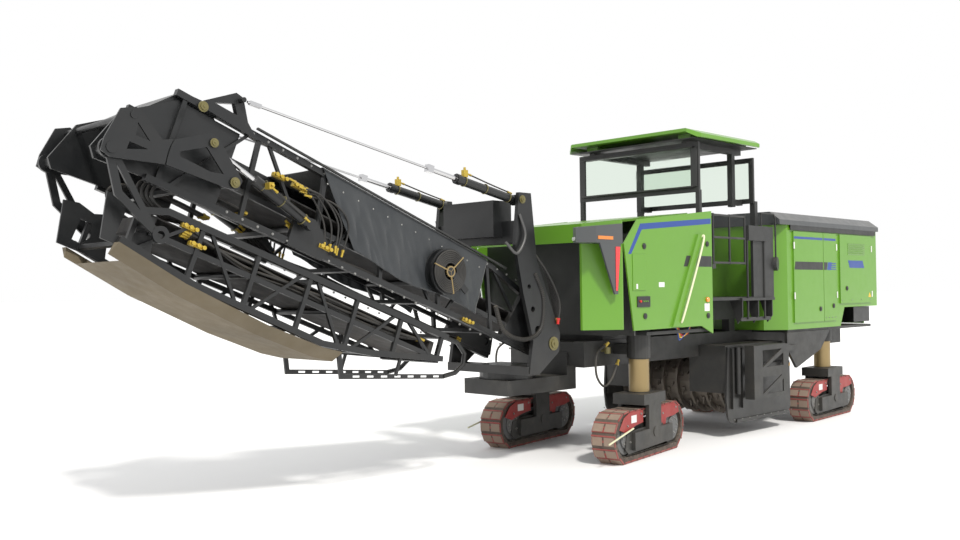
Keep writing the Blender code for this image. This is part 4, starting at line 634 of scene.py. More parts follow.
def plain_copy(obj, name, body, smooth=35):
    """Stores what the modifiers make as a plain mesh that rides on a body."""
    graph = bpy.context.evaluated_depsgraph_get()
    mesh = bpy.data.meshes.new_from_object(obj.evaluated_get(graph))
    mesh.name = name
    bpy.data.objects.remove(obj)
    made = bpy.data.objects.new(name, mesh)
    scene.collection.objects.link(made)
    mesh.shade_smooth()
    mesh.set_sharp_from_angle(angle=math.radians(smooth))
    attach(made, body)
    return made


def set_parts(name, body, places, part, material, size=1.0, spread=0.0, turn_spread=0.0, seed=3):
    """places holds (point, facing, along) for each part. Returns the finished piece."""
    mesh = bpy.data.meshes.new(name + "_points")
    mesh.from_pydata([tuple(point) for point, _, _ in places], [], [])
    for label, column in (("facing", 1), ("along", 2)):
        values = mesh.attributes.new(label, "FLOAT_VECTOR", "POINT")
        for item, place in zip(values.data, places):
            item.vector = place[column]
    points = bpy.data.objects.new(name + "_points", mesh)
    scene.collection.objects.link(points)
    modifier = points.modifiers.new("placing", "NODES")
    modifier.node_group = PLACING
    inputs = (
        ("Part", part), ("Size", size), ("Size spread", spread), ("Turn spread", turn_spread),
        ("Seed", seed),
    )
    for label, value in inputs:
        set_input(modifier, label, value)
    set_input(modifier, "Finish", material)
    bpy.context.view_layer.update()
    return plain_copy(points, name, body)


# %% Parts that get repeated
def new_part(name, shape, smooth=35):
    """A part for the placing tree, kept out of the render."""
    bmesh.ops.recalc_face_normals(shape, faces=shape.faces)
    mesh = bpy.data.meshes.new(name)
    shape.to_mesh(mesh)
    shape.free()
    obj = bpy.data.objects.new(name, mesh)
    scene.collection.objects.link(obj)
    obj.hide_render = True
    obj.hide_viewport = True
    return obj


def hex_bolt():
    shape = bmesh.new()
    add_bar(shape, (0, 0, -0.002), (0, 0, 0.003), 1.0 * 0.016, 14)
    add_bar(shape, (0, 0, 0.002), (0, 0, 0.013), 0.0115, 6)
    return new_part("hex_bolt_part", shape)


def round_rivet():
    shape = bmesh.new()
    bmesh.ops.create_uvsphere(
        shape, u_segments=10, v_segments=6, radius=0.009, matrix=Matrix.Diagonal((1, 1, 0.6, 1)),
    )
    return new_part("rivet_part", shape)


HEX_BOLT = hex_bolt()
RIVET = round_rivet()


def row(start, end, count):
    start, end = Vector(start), Vector(end)
    return [start.lerp(end, k / max(1, count - 1)) for k in range(count)]


def facing_all(points, facing, along=(0, 0, 1)):
    return [(point, Vector(facing), Vector(along)) for point in points]


# %% [markdown]
# ## Hoses
# A hydraulic line is a rubber tube between two crimped fittings. Each run is a smooth curve
# through a few guide points. The rubber and the bright ends are separate pieces, because they
# have separate finishes. They are held at both ends, so they aren't free cords.


# %% A bundle of hoses with crimped ends
def add_fitting(shape, end, ahead, radius):
    ahead = Vector(ahead).normalized()
    add_bar(shape, end - ahead * 0.004, end + ahead * 0.05, radius * 1.28, 12)
    add_bar(shape, end + ahead * 0.046, end + ahead * 0.068, radius * 1.7, 6)


def hoses(name, body, runs, radius=0.012, fittings=ZINC, rubber=RUBBER):
    rubber_shape, metal_shape = bmesh.new(), bmesh.new()
    for points in runs:
        path = smooth_path(points)
        add_pipe(rubber_shape, path, radius, 10)
        for end, inner in ((path[0], path[1]), (path[-1], path[-2])):
            add_fitting(metal_shape, end, inner - end, radius)
    close_piece(rubber_shape, name, body, rubber)
    close_piece(metal_shape, name + "_fittings", body, fittings)


# %% [markdown]
# ## Machine coordinates
# The front legs' line is the datum that the machine's own drawing would use, so `at` counts y
# from there.

# %% Places on the chassis
leg_line = axes["steer_front_left"].y


def at(x, y, z):
    return Vector((x, leg_line + y, z))


def add_decal(shape, side, corners, thickness=0.0015, lift=0.0):
    """A film or plate on one side's skin, from its corners (y, z)."""
    points = [at(side * (skin + lift), y, z) for y, z in corners]
    add_plate(shape, points, (side * thickness, 0, 0))


def add_skin_block(shape, side, rise, low, high):
    """A block that stands off one side's skin, between two corners (y, z)."""
    inner, outer = sorted((side * skin, side * (skin + rise)))
    add_block(shape, at(inner, *low), at(outer, *high))


# %% [markdown]
# ## Stripes and the dark band
# The livery is sheet film on the panels: a blue line that follows the front panel's top edge, a
# blue line along the doors, and a dark band that ends in slanted blue hatching.


# %% The livery
STRIPE_LOW, STRIPE_HIGH = 2.80, 2.835
BAND_LOW, BAND_HIGH = 2.34, 2.46
FILM_MARGIN = 0.012
for side, hand in SIDES:
    shape = bmesh.new()
    add_decal(
        shape, side, [(-0.62, 2.5), (-0.56, 2.5), (-0.34, 2.80), (1.2, 2.93), (1.2, 3.0), (-0.37, 2.87)],
    )
    close_piece(shape, f"panel_stripe_{hand}", "chassis", BLUE)
    shape = bmesh.new()
    add_decal(shape, side, [(0.55, 2.36), (1.21, 2.36), (1.21, 2.50), (0.62, 2.50)])
    close_piece(shape, f"panel_band_{hand}", "chassis", CHARCOAL)
    for name in ("door_front", "door_middle"):
        low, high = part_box(f"{name}_{hand}")
        y0, y1 = low.y - leg_line + FILM_MARGIN, high.y - leg_line - FILM_MARGIN
        shape = bmesh.new()
        add_decal(shape, side, [(y0, STRIPE_LOW), (y1, STRIPE_LOW), (y1, STRIPE_HIGH), (y0, STRIPE_HIGH)])
        if name == "door_middle":
            add_decal(
                shape, side,
                [
                    (y0 + 0.1, BAND_LOW), (y0 + 0.24, BAND_LOW), (y0 + 0.27, BAND_HIGH),
                    (y0 + 0.13, BAND_HIGH),
                ],
            )
            for k in range(4):
                z0, z1, slant = 2.345 + 0.03 * k, 2.36 + 0.03 * k, 0.007 * k
                add_decal(
                    shape, side, [(y0 + 0.25 + slant, z0), (y1, z0), (y1, z1), (y0 + 0.254 + slant, z1)],
                )
        close_piece(shape, f"{name}_stripe_{hand}", f"{name}_{hand}", BLUE)
        shape = bmesh.new()
        a, b, c, d = (y0, y1, y1, y0 + 0.03) if name == "door_front" else (y0, y0 + 0.085, y0 + 0.115, y0)
        add_decal(shape, side, [(a, BAND_LOW), (b, BAND_LOW), (c, BAND_HIGH), (d, BAND_HIGH)])
        close_piece(shape, f"{name}_band_{hand}", f"{name}_{hand}", CHARCOAL)
    shape = bmesh.new()
    add_decal(shape, side, [(5.32, 2.38), (5.86, 2.38), (5.8, 2.5), (5.26, 2.5)])
    close_piece(shape, f"door_plate_{hand}", f"door_rear_{hand}", BLUE)
    shape = bmesh.new()
    add_decal(shape, side, [(6.0, 1.9), (6.1, 1.9), (6.05, 1.98)])
    close_piece(shape, f"door_warning_{hand}", f"door_rear_{hand}", YELLOW)
    shape = bmesh.new()
    add_decal(shape, side, [(3.36, 2.925), (6.3, 2.925), (6.3, 2.998), (3.36, 2.998)], 0.006)
    close_piece(shape, f"hood_band_{hand}", "chassis", CHARCOAL)
print("livery done")

# %% [markdown]
# ## Doors: latches, hinges and vent
# A slam latch is a black disc with a raised grip. The vent is a row of pressed slats, placed by
# the same tree as the bolts, with each slat turned to shed rain.


# %% Door fittings
def slat_part(length):
    shape = bmesh.new()
    add_beam(shape, (-length / 2, 0, 0.004), (length / 2, 0, 0.004), 0.02, 0.006)
    bmesh.ops.rotate(shape, verts=shape.verts, matrix=Matrix.Rotation(math.radians(35), 3, "X"))
    return new_part("slat_part", shape)


def add_latch(shape, centre, out):
    add_bar(shape, centre, centre + out * 0.012, 0.036, 24)
    add_bar(shape, centre + out * 0.006, centre + out * 0.018, 0.02, 16)


SLAT = slat_part(0.62)
for side, hand in SIDES:
    out = Vector((side, 0, 0))
    for name, y, z in (("door_front", 4.28, 1.74), ("door_middle", 4.72, 1.78), ("door_rear", 5.2, 2.05)):
        shape = bmesh.new()
        add_latch(shape, at(side * skin, y, z), out)
        close_piece(shape, f"{name}_latches_{hand}", f"{name}_{hand}", CHARCOAL, 0.002)
    shape = bmesh.new()
    for name, y in (("door_front", 3.46), ("door_middle", 4.845), ("door_rear", 6.13)):
        for z in (1.95, 2.7):
            add_bar(
                shape, at(side * (skin + 0.006), y, z - 0.05), at(side * (skin + 0.006), y, z + 0.05),
                0.011, 12,
            )
    close_piece(shape, f"door_hinges_{hand}", "chassis", WHITE, 0.001)
    places = facing_all(row(at(side * skin, 5.56, 2.6), at(side * skin, 5.56, 2.76), 6), out, (0, 1, 0))
    set_parts(f"vent_slats_{hand}", f"door_rear_{hand}", places, SLAT, LIME)

# %% [markdown]
# ## Front panel: hatches, handrail, latches and lamps
# The handrail is a bent tube on two stand-offs beside the diagonal rib. The lamps are stacked
# lenses let into the dark shoulder: a long tapered red one in the trim, and clear and amber
# ones under the visor.


# %% Front panel fittings
for side, hand in SIDES:
    out = Vector((side, 0, 0))
    shape = bmesh.new()
    rail = [(0.46, 1.68), (0.46, 1.74), (0.93, 2.68), (0.93, 2.74)]
    offs = (0.004, 0.055, 0.055, 0.004)
    add_pipe(
        shape, smooth_path([at(side * (skin + off), y, z) for (y, z), off in zip(rail, offs)], 10), 0.014,
        12,
    )
    close_piece(shape, f"panel_handrail_{hand}", "chassis", CREAM)
    shape = bmesh.new()
    for y, z in ((-0.3, 2.6), (1.1, 2.66), (-0.3, 1.75), (1.1, 1.72)):
        add_latch(shape, at(side * skin, y, z), out)
    close_piece(shape, f"panel_latches_{hand}", "chassis", CHARCOAL, 0.002)
    shape = bmesh.new()
    add_skin_block(shape, side, 0.008, (-0.54, 2.06), (-0.28, 2.5))
    close_piece(shape, f"panel_hatch_{hand}", "chassis", LIME, 0.003)
    shape = bmesh.new()
    add_block(
        shape, at(min(side * skin, side * (skin + 0.01)), -0.48, 2.08),
        at(max(side * skin, side * (skin + 0.01)) + 0.004, -0.45, 2.14),
    )
    add_decal(shape, side, [(0.0, 2.1), (0.12, 2.1), (0.12, 2.16), (0.0, 2.16)])
    add_decal(shape, side, [(1.02, 1.78), (1.14, 1.78), (1.14, 1.88), (1.02, 1.88)])
    close_piece(shape, f"panel_labels_{hand}", "chassis", WHITE, 0.0005)
    shape = bmesh.new()
    add_skin_block(shape, side, 0.014, (-0.46, 1.86), (-0.2, 1.99))
    close_piece(shape, f"control_box_{hand}", "chassis", CHARCOAL, 0.004)
    shape = bmesh.new()
    add_bar(shape, at(side * (skin + 0.01), -0.41, 1.93), at(side * (skin + 0.032), -0.41, 1.93), 0.016, 20)
    close_piece(shape, f"stop_button_{hand}", "chassis", SAFETY_RED, 0.003)
    shape = bmesh.new()
    for k in range(3):
        add_bar(
            shape, at(side * (skin + 0.01), -0.34 + 0.04 * k, 1.93),
            at(side * (skin + 0.022), -0.34 + 0.04 * k, 1.93), 0.01, 14,
        )
    close_piece(shape, f"control_knobs_{hand}", "chassis", LIME, 0.002)
    shape = bmesh.new()
    add_decal(shape, side, [(-0.86, 2.58), (-0.77, 2.58), (-0.83, 2.06), (-0.865, 2.06)], 0.006, -0.003)
    close_piece(shape, f"marker_lens_{hand}", "chassis", RED_LENS, 0.002)
    cap_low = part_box(f"lamp_cap_{hand}")[0]
    shape = bmesh.new()
    corner_a, corner_b = Vector(
        (side * 1.015, cap_low.y + 0.115, 2.665)
    ), Vector((side * 1.115, cap_low.y + 0.045, 2.665))
    ahead = (corner_b - corner_a).normalized()
    outward = Vector((0, 0, 1)).cross(ahead) * -side
    if outward.y > 0:
        outward = -outward
    for k in range(3):
        middle = corner_a.lerp(corner_b, (k + 0.5) / 3) + outward * 0.026
        add_bar(shape, middle, middle + outward * 0.014, 0.02, 18)
    close_piece(shape, f"corner_lamps_{hand}", "chassis", CLEAR_LENS, 0.002)
    shape = bmesh.new()
    y_edge = cap_low.y + 0.24
    add_plate(
        shape,
        [
            Vector((side * skin, y, z))
            for y, z in ((y_edge, 2.66), (y_edge + 0.28, 2.66), (y_edge + 0.28, 2.70), (y_edge, 2.70))
        ],
        (side * 0.006, 0, 0),
    )
    close_piece(shape, f"turn_lamp_{hand}", "chassis", ORANGE_LENS, 0.001)
print("front panel done")

# %% [markdown]
# ## Crawlers
# Each crawler is a closed loop of shoes. The loop on the frame fixes its outline, and the shoes
# repeat round it at one pitch, so they come from the placing tree: a steel shoe, and two worn pads
# bolted to it. Inside the loop run the chain's pins, the idler and the sprocket. A guard plate
# covers each end. The crawler's heading is measured from its own mesh.

# %% The loop's path
TRACK_RADIUS = 0.31
TRACK_HALF = 0.66
CONTACT_HALF = 0.75
SHOE_PITCH = 0.16


def heading_of(node):
    """The turn about Z of a long node, from how its vertices spread."""
    spots = [vertex.co for vertex in frame["nodes"][node].data.vertices]
    middle = sum(spots, Vector()) / len(spots)
    xx = sum((spot.x - middle.x) ** 2 for spot in spots)
    yy = sum((spot.y - middle.y) ** 2 for spot in spots)
    xy = sum((spot.x - middle.x) * (spot.y - middle.y) for spot in spots)
    turn = 0.5 * math.atan2(2 * xy, xx - yy) - math.pi / 2
    return (turn + math.pi / 2) % math.pi - math.pi / 2


def arc_points(y, radius, start, end, steps):
    turns = [math.radians(start + (end - start) * k / steps) for k in range(steps + 1)]
    return [Vector((0, y + radius * math.cos(t), TRACK_RADIUS + radius * math.sin(t))) for t in turns]


def track_path(grow=0.0):
    radius = TRACK_RADIUS + grow
    front = arc_points(-TRACK_HALF, radius, 90, 215, 10)
    back = arc_points(TRACK_HALF, radius, -35, 90, 10)
    return [*front, Vector((0, -CONTACT_HALF, -grow)), Vector((0, CONTACT_HALF, -grow)), *back]


def evenly(path, pitch):
    """(point, direction) at equal steps round a closed path."""
    loop = [*path, path[0]]
    total = sum((b - a).length for a, b in zip(loop, loop[1:]))
    count = round(total / pitch)
    step, travelled, made = total / count, 0.0, []
    for a, b in zip(loop, loop[1:]):
        run = (b - a).length
        while len(made) * step < travelled + run and len(made) < count:
            made.append((a.lerp(b, (len(made) * step - travelled) / run), (b - a).normalized()))
        travelled += run
    return made


# %% Crawler parts
def shoe_part():
    shape = bmesh.new()
    add_block(shape, (-0.064, -0.156, -0.016), (0.064, 0.156, 0.002))
    add_block(shape, (-0.068, -0.156, -0.006), (-0.05, 0.156, 0.008))
    return new_part("shoe_part", shape)


def pad_part():
    shape = bmesh.new()
    for low, high in ((-0.146, -0.012), (0.012, 0.146)):
        add_block(shape, (-0.044, low, 0.0), (0.056, high, 0.0075))
    return new_part("pad_part", shape)


def pin_part():
    shape = bmesh.new()
    for side in (-1, 1):
        add_block(shape, (-0.05, side * 0.11 - 0.014, -0.028), (0.05, side * 0.11 + 0.014, 0.028))
    add_bar(shape, (0, -0.153, 0), (0, 0.153, 0), 0.014, 10)
    return new_part("pin_part", shape)


SHOE, PAD, PIN = shoe_part(), pad_part(), pin_part()
PAD_WORN = finish_of(
    "pad_worn", (0.24, 0.17, 0.13), 0.75, dust=0.4, wear=0.6, bare=(0.4, 0.33, 0.28), bump=0.7, drift=0.35,
    patches=12.0,
)
CHAIN_STEEL = finish_of(
    "chain_steel", (0.05, 0.045, 0.04), 0.5, dust=0.35, wear=0.9, bare=(0.45, 0.43, 0.38), metallic=0.6,
    bump=0.5,
)
SHOE_RED = finish_of(
    "shoe_red", (0.26, 0.02, 0.022), 0.5, dust=0.45, wear=1.0, bare=(0.17, 0.13, 0.11), bump=0.4,
    patches=8.0,
)
GUARD_FRONT = [
    (-0.86, 0.42), (-0.74, 0.55), (-0.6, 0.60), (-0.24, 0.60), (-0.24, 0.45), (-0.44, 0.43), (-0.7, 0.37),
]
GUARD_REAR = [
    (0.24, 0.60), (0.66, 0.60), (0.78, 0.55), (0.8, 0.47), (0.66, 0.44), (0.42, 0.43), (0.36, 0.27),
    (0.27, 0.27),
]
FRAME_SIDE = [
    (-0.72, 0.17), (-0.68, 0.35), (-0.4, 0.385), (0.3, 0.385), (0.36, 0.3), (0.34, 0.13), (-0.64, 0.11),
]


def crawler(leg):
    axis = axes[f"steer_{leg}"]
    body = f"leg_{leg}"
    place = Matrix.Translation((axis.x, axis.y, 0)) @ Matrix.Rotation(heading_of(f"track_{leg}"), 4, "Z")
    turn = place.to_3x3()
    across = turn @ Vector((1, 0, 0))

    def world(points):
        return [place @ Vector(point) for point in points]

    spots = []
    for point, ahead in evenly(track_path(-0.008), SHOE_PITCH):
        facing = Vector((0, ahead.z, -ahead.y))
        spots.append(
            (
                place @ point,
                turn @ -facing if facing.dot(point - Vector((0, 0, TRACK_RADIUS))) < 0 else turn @ facing,
                turn @ ahead,
            )
        )
    set_parts(f"shoes_{leg}", body, spots, SHOE, SHOE_RED)
    set_parts(f"pads_{leg}", body, spots, PAD, PAD_WORN)
    pins = []
    for point, ahead in evenly(track_path(-0.062), SHOE_PITCH * 0.66):
        facing = turn @ Vector((0, ahead.z, -ahead.y))
        pins.append((place @ point, facing, turn @ ahead))
    set_parts(f"chain_{leg}", body, pins, PIN, CHAIN_STEEL)
    red, grey, wheels, labels = bmesh.new(), bmesh.new(), bmesh.new(), bmesh.new()
    bolts = []
    for side in (-1, 1):
        push = across * side * 0.01
        for corners in (GUARD_FRONT, GUARD_REAR):
            add_plate(red, world([(side * 0.158, y, z) for y, z in corners]), push)
        add_plate(grey, world([(side * 0.156, y, z) for y, z in FRAME_SIDE]), across * side * 0.014)
        add_plate(
            labels,
            world(
                [
                    (side * 0.1685, y, z)
                    for y, z in ((-0.56, 0.47), (-0.42, 0.47), (-0.42, 0.56), (-0.56, 0.56))
                ]
            ),
            across * side * 0.001,
        )
        for y, z in ((-0.66, 0.45), (-0.3, 0.56), (0.31, 0.32), (0.31, 0.5), (0.7, 0.54)):
            bolts.append((place @ Vector((side * 0.168, y, z)), across * side, Vector((0, 0, 1))))
        for y, z in ((-0.6, 0.25), (-0.3, 0.25), (0.2, 0.2), (0.2, 0.32)):
            bolts.append((place @ Vector((side * 0.17, y, z)), across * side, Vector((0, 0, 1))))
    for y, radius in ((-TRACK_HALF, 0.2), (TRACK_HALF, 0.19)):
        start, end = world([(-0.13, y, TRACK_RADIUS), (0.13, y, TRACK_RADIUS)])
        add_bar(wheels, start, end, radius, 28)
        for low, high, size in ((-0.151, -0.13, 0.13), (0.13, 0.151, 0.13), (-0.156, 0.156, 0.06)):
            start, end = world([(low, y, TRACK_RADIUS), (high, y, TRACK_RADIUS)])
            add_bar(wheels, start, end, size, 24)
        for k in range(8):
            a = math.tau * k / 8
            for side in (-1, 1):
                spot = place @ Vector(
                    (side * 0.151, y + 0.095 * math.cos(a), TRACK_RADIUS + 0.095 * math.sin(a))
                )
                bolts.append((spot, across * side, Vector((0, 0, 1))))
    close_piece(red, f"crawler_guards_{leg}", body, CRAWLER_RED, 0.003)
    close_piece(grey, f"crawler_frame_{leg}", body, CHARCOAL, 0.004)
    close_piece(wheels, f"crawler_wheels_{leg}", body, ENGINE_GREY, 0.004)
    close_piece(labels, f"crawler_labels_{leg}", body, WHITE)
    set_parts(f"crawler_bolts_{leg}", body, bolts, HEX_BOLT, BOLT_STEEL, 0.9)
    tube = bmesh.new()
    add_bar(tube, (axis.x, axis.y, 0.8), (axis.x, axis.y, 1.205), 0.1275, 40)
    close_piece(tube, f"leg_tube_{leg}", body, BRONZE)
    if leg.startswith("front"):
        pole = bmesh.new()
        add_bar(
            pole,
            *world(
                [(0.19 if axis.x > 0 else -0.19, -0.55, 0.41), (0.2 if axis.x > 0 else -0.2, -1.18, 0.3)]
            ),
            0.011, 10,
        )
        close_piece(pole, f"marker_rod_{leg}", body, CREAM)


for leg in LEGS:
    crawler(leg)
print("crawlers done, heading", [round(math.degrees(heading_of(f"track_{leg}")), 1) for leg in LEGS])

# %% [markdown]
# ## The milling drum
# The drum carries pick holders in two opposite spirals that sweep the millings to the middle. The
# spiral is a rule, so the holders' places are worked out from it and set by the placing tree.

# %% Picks on the drum
def pick_part():
    shape = bmesh.new()
    add_block(shape, (-0.035, -0.024, -0.02), (0.035, 0.024, 0.03))
    add_bar(shape, (0.0, 0, 0.02), (0.045, 0, 0.062), 0.017, 12, 0.013)
    add_bar(shape, (0.04, 0, 0.058), (0.062, 0, 0.078), 0.012, 10, 0.004)
    return new_part("pick_part", shape)


drum = axes["drum_spin"]
drum_low, drum_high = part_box("milling_drum")
drum_radius = (drum_high.z - drum_low.z) / 2
picks = []
PICKS_A_SIDE = 80
for side in (-1, 1):
    for k in range(PICKS_A_SIDE):
        share = (k + 0.5) / PICKS_A_SIDE
        angle = side * share * math.tau * 2.3 + k % 3 * math.tau / 3
        out = Vector((0, math.cos(angle), math.sin(angle)))
        spot = Vector((side * share * (drum_high.x - 0.05), drum.y, drum.z)) + out * (drum_radius - 0.085)
        picks.append((spot, out, Vector((0, -math.sin(angle), math.cos(angle)))))
set_parts("drum_picks", "milling_drum", picks, pick_part(), DRUM_STEEL)
print("picks:", len(picks))

# %% [markdown]
# ## The tarpaulin on the boom
# A dust sheet lies over the boom's top rails and hangs down each side. It is one woven sheet, so
# its mesh runs across one side, over the top and down the other. Its lower edge sags between its
# ties, and long soft folds run down from the rail. Its finish follows the sheet's own UV map, so
# that the weave turns with the cloth.

# %% A woven finish
def woven_finish(name, colour, roughness=0.5):
    material = bpy.data.materials.new(name)
    material.use_nodes = True
    tree = material.node_tree
    shader = tree.nodes["Principled BSDF"]
    flat = place_node(tree, "ShaderNodeUVMap", uv_map="cloth")
    place = place_node(tree, "ShaderNodeTexCoord").outputs["Object"]
    threads = []
    for direction in ("X", "Y"):
        wave = place_node(tree, "ShaderNodeTexWave", bands_direction=direction)
        feed(tree, wave.inputs["Vector"], flat.outputs[0])
        wave.inputs["Scale"].default_value = 60.0
        threads.append(wave.outputs["Fac"])
    weave = math_node(tree, "MULTIPLY", *threads)
    dark, pale = tuple(c * 0.7 for c in colour) + (1,), tuple(c * 1.5 for c in colour) + (1,)
    base = mix_colour(tree, noise(tree, place, 3.0, 6.0), dark, pale)
    dusted = place_node(tree, "ShaderNodeGroup", node_tree=DUSTING)
    feed(tree, dusted.inputs["Colour"], base)
    feed(tree, dusted.inputs["Roughness"], roughness)
    feed(tree, dusted.inputs["Amount"], 0.3)
    feed(tree, shader.inputs["Base Color"], dusted.outputs["Colour"])
    feed(tree, shader.inputs["Roughness"], dusted.outputs["Roughness"])
    shader.inputs["Sheen Weight"].default_value = 0.2
    creases = place_node(tree, "ShaderNodeBump")
    creases.inputs["Strength"].default_value = 0.35
    creases.inputs["Distance"].default_value = 0.01
    feed(tree, creases.inputs["Height"], noise(tree, place, 5.0, 5.0))
    relief = place_node(tree, "ShaderNodeBump")
    relief.inputs["Strength"].default_value = 0.3
    relief.inputs["Distance"].default_value = 0.001
    feed(tree, relief.inputs["Height"], weave)
    feed(tree, relief.inputs["Normal"], creases.outputs[0])
    feed(tree, shader.inputs["Normal"], relief.outputs[0])
    return material


TARPAULIN = woven_finish("tarpaulin", (0.012, 0.016, 0.02), 0.42)


# %% Sheets of cloth from a rule
def cloth_sheet(name, place_of, across, along, size, thickness, material):
    """A grid of cloth: place_of(a, b) puts each point, a and b running from 0 to 1."""
    shape = bmesh.new()
    uv = shape.loops.layers.uv.new("cloth")
    grid = [
        [shape.verts.new(place_of(i / across, k / along)) for k in range(along + 1)]
        for i in range(across + 1)
    ]
    for i in range(across):
        for k in range(along):
            face = shape.faces.new((grid[i][k], grid[i + 1][k], grid[i + 1][k + 1], grid[i][k + 1]))
            for loop, (a, b) in zip(face.loops, ((i, k), (i + 1, k), (i + 1, k + 1), (i, k + 1))):
                loop[uv].uv = (a / across * size[0], b / along * size[1])
    mesh = bpy.data.meshes.new(name)
    shape.to_mesh(mesh)
    shape.free()
    obj = bpy.data.objects.new(name, mesh)
    scene.collection.objects.link(obj)
    mesh.materials.append(material)
    wall = obj.modifiers.new("thickness", "SOLIDIFY")
    wall.thickness = thickness
    wall.offset = 0
    mesh.shade_smooth()
    return obj


# %% The tarpaulin
TARP_TOP, TARP_LOW = 0.592, -0.06
TARP_FRONT, TARP_REAR = 3.6, 1.2
TARP_HALF = 0.511
tarp_drop = TARP_TOP - TARP_LOW
TARP_CUT = 0.62  # the front edge slopes back by this much at the hem
tarp_round = 2 * TARP_HALF + 2 * tarp_drop


def tarp_place(a, b):
    walked = a * tarp_round - tarp_round / 2
    side = math.copysign(1, walked)
    down = max(0.0, abs(walked) - TARP_HALF)
    fall = down / tarp_drop
    front = TARP_FRONT - TARP_CUT * fall
    u = TARP_REAR + (front - TARP_REAR) * b
    if down:
        fold = 0.011 * math.sin(u * 9.0 + side) + 0.008 * math.sin(u * 21.0 + fall * 4.0) + 0.006 * math.sin(
            (u + fall * 0.6) * 34.0
        )
        x = side * (TARP_HALF + 0.004 + abs(fold) * min(1.0, 2.2 * fall) + 0.012 * fall)
        sag = 0.03 * math.sin((u - TARP_REAR) * 4.4) * fall ** 2
        return on_boom(x, u, TARP_TOP - down + sag)
    return on_boom(walked, u, TARP_TOP - 0.012 * (1 - (walked / TARP_HALF) ** 2))


tarp = cloth_sheet(
    "tarpaulin_sheet", tarp_place, 96, 120, (tarp_round, TARP_FRONT - TARP_REAR), 0.004, TARPAULIN,
)
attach(tarp, "boom")
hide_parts("boom_tarp")
print("tarpaulin across", round(tarp_round, 2))

# %% [markdown]
# ## Fittings on the boom
# The boom's chords carry bolts and clamped hydraulic lines. Lines run in bundles from the foot to
# the head's cylinders, and a looser bundle hangs in a loop at the fold. That loop is laid for the
# folded conveyor. Pins at the pivots are plated, with a washer and a keeper bolt each.

# %% Pivot pins
def add_pin_head(shape, centre, side, radius):
    add_bar(shape, centre, centre + Vector((side * 0.008, 0, 0)), radius * 1.35, 24)
    add_bar(shape, centre, centre + Vector((side * 0.022, 0, 0)), radius * 0.85, 24)
    add_bar(shape, centre, centre + Vector((side * 0.03, 0, 0)), radius * 0.3, 6)


head_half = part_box("fold_crank")[1].x
head_pins = bmesh.new()
for side, hand in SIDES:
    for u, v in ((4.51, -0.012), (5.02, 0.47)):
        add_pin_head(head_pins, on_boom(side * head_half, u, v), side, 0.035)
close_piece(head_pins, "head_pins", "boom", OLIVE)
rod_pins = bmesh.new()
for side, hand in SIDES:
    add_pin_head(rod_pins, on_boom(side * head_half, 4.815, 0.225), side, 0.03)
close_piece(rod_pins, "crank_pins", "fold_crank", OLIVE)

# %% Bolts along the chords
bolts = []
for side, hand in SIDES:
    out = Vector((side, 0, 0))
    for v in (0.55, -0.23):
        bolts += facing_all(row(on_boom(side * 0.5, 0.5, v), on_boom(side * 0.5, 4.4, v), 24), out)
set_parts("chord_bolts", "boom", bolts, HEX_BOLT, BOLT_STEEL, 0.8)

# %% Lines along the boom
boom_runs = []
for side, hand in SIDES:
    for k in range(4):
        x, v = side * (0.44 - 0.03 * (k % 2)), -0.17 + 0.03 * (k // 2)
        path = [
            on_boom(x, 0.45, v + 0.02), on_boom(x, 0.9, v),
            *[on_boom(x, u, v - 0.012 * (j % 2)) for j, u in enumerate((1.5, 2.1, 2.7, 3.3))],
            on_boom(x, 3.75, v + 0.1 + 0.04 * k),
        ]
        boom_runs.append(path)
hoses("boom_lines", "boom", boom_runs, 0.011)
valve_runs = []
for side, hand in SIDES:
    for k in range(5):
        x = side * (0.5 + 0.02 * (k % 3))
        start = on_boom(x, 3.9 - 0.05 * k, 0.33 - 0.02 * k)
        valve_runs.append(
            [
                start, on_boom(x + side * 0.03, 3.7 - 0.08 * k, 0.30),
                on_boom(x + side * 0.02, 3.42 - 0.07 * k, 0.1 + 0.02 * k),
                on_boom(x, 3.3 - 0.05 * k, -0.14),
            ]
        )
hoses("boom_valve_lines", "boom", valve_runs, 0.0095)

# %% Valve blocks
def add_valve(shape, centre, side):
    for k in range(3):
        a = centre + (on_boom(0, 0.055 * k, 0) - on_boom(0, 0, 0))
        add_bar(shape, a, a + Vector((side * 0.05, 0, 0)), 0.016, 10)
        add_bar(shape, a + Vector((side * 0.045, 0, 0)), a + Vector((side * 0.062, 0, 0)), 0.021, 6)
    add_beam(shape, centre, centre + (on_boom(0, 0.13, 0) - on_boom(0, 0, 0)), 0.05, 0.04)


valves = bmesh.new()
for side, hand in SIDES:
    for u, v in ((3.95, 0.3), (3.72, 0.3), (3.25, -0.13), (1.2, -0.16)):
        add_valve(valves, on_boom(side * 0.49, u, v), side)
close_piece(valves, "boom_valves", "boom", ZINC, 0.002)
front_valves = bmesh.new()
front_runs = []
for side, hand in SIDES:
    for u, v in ((4.62, -0.5), (4.5, -0.62)):
        add_valve(front_valves, on_boom(side * 0.47, u, v), side)
    for k in range(6):
        x = side * (0.46 - 0.022 * (k % 3))
        front_runs.append(
            [
                on_boom(x, 4.7, -0.48 - 0.02 * k), on_boom(x, 4.4, -0.56),
                *[
                    on_boom(x - side * 0.01, u, -0.57 - 0.028 * (k // 2) + 0.015 * math.sin(u * 5 + k))
                    for u in (4.0, 3.5, 3.0, 2.5, 2.1)
                ],
                on_boom(x, 1.75, -0.55),
            ]
        )
close_piece(front_valves, "front_valves", "front_boom", ZINC, 0.002)
hoses("front_lines", "front_boom", front_runs, 0.0125)

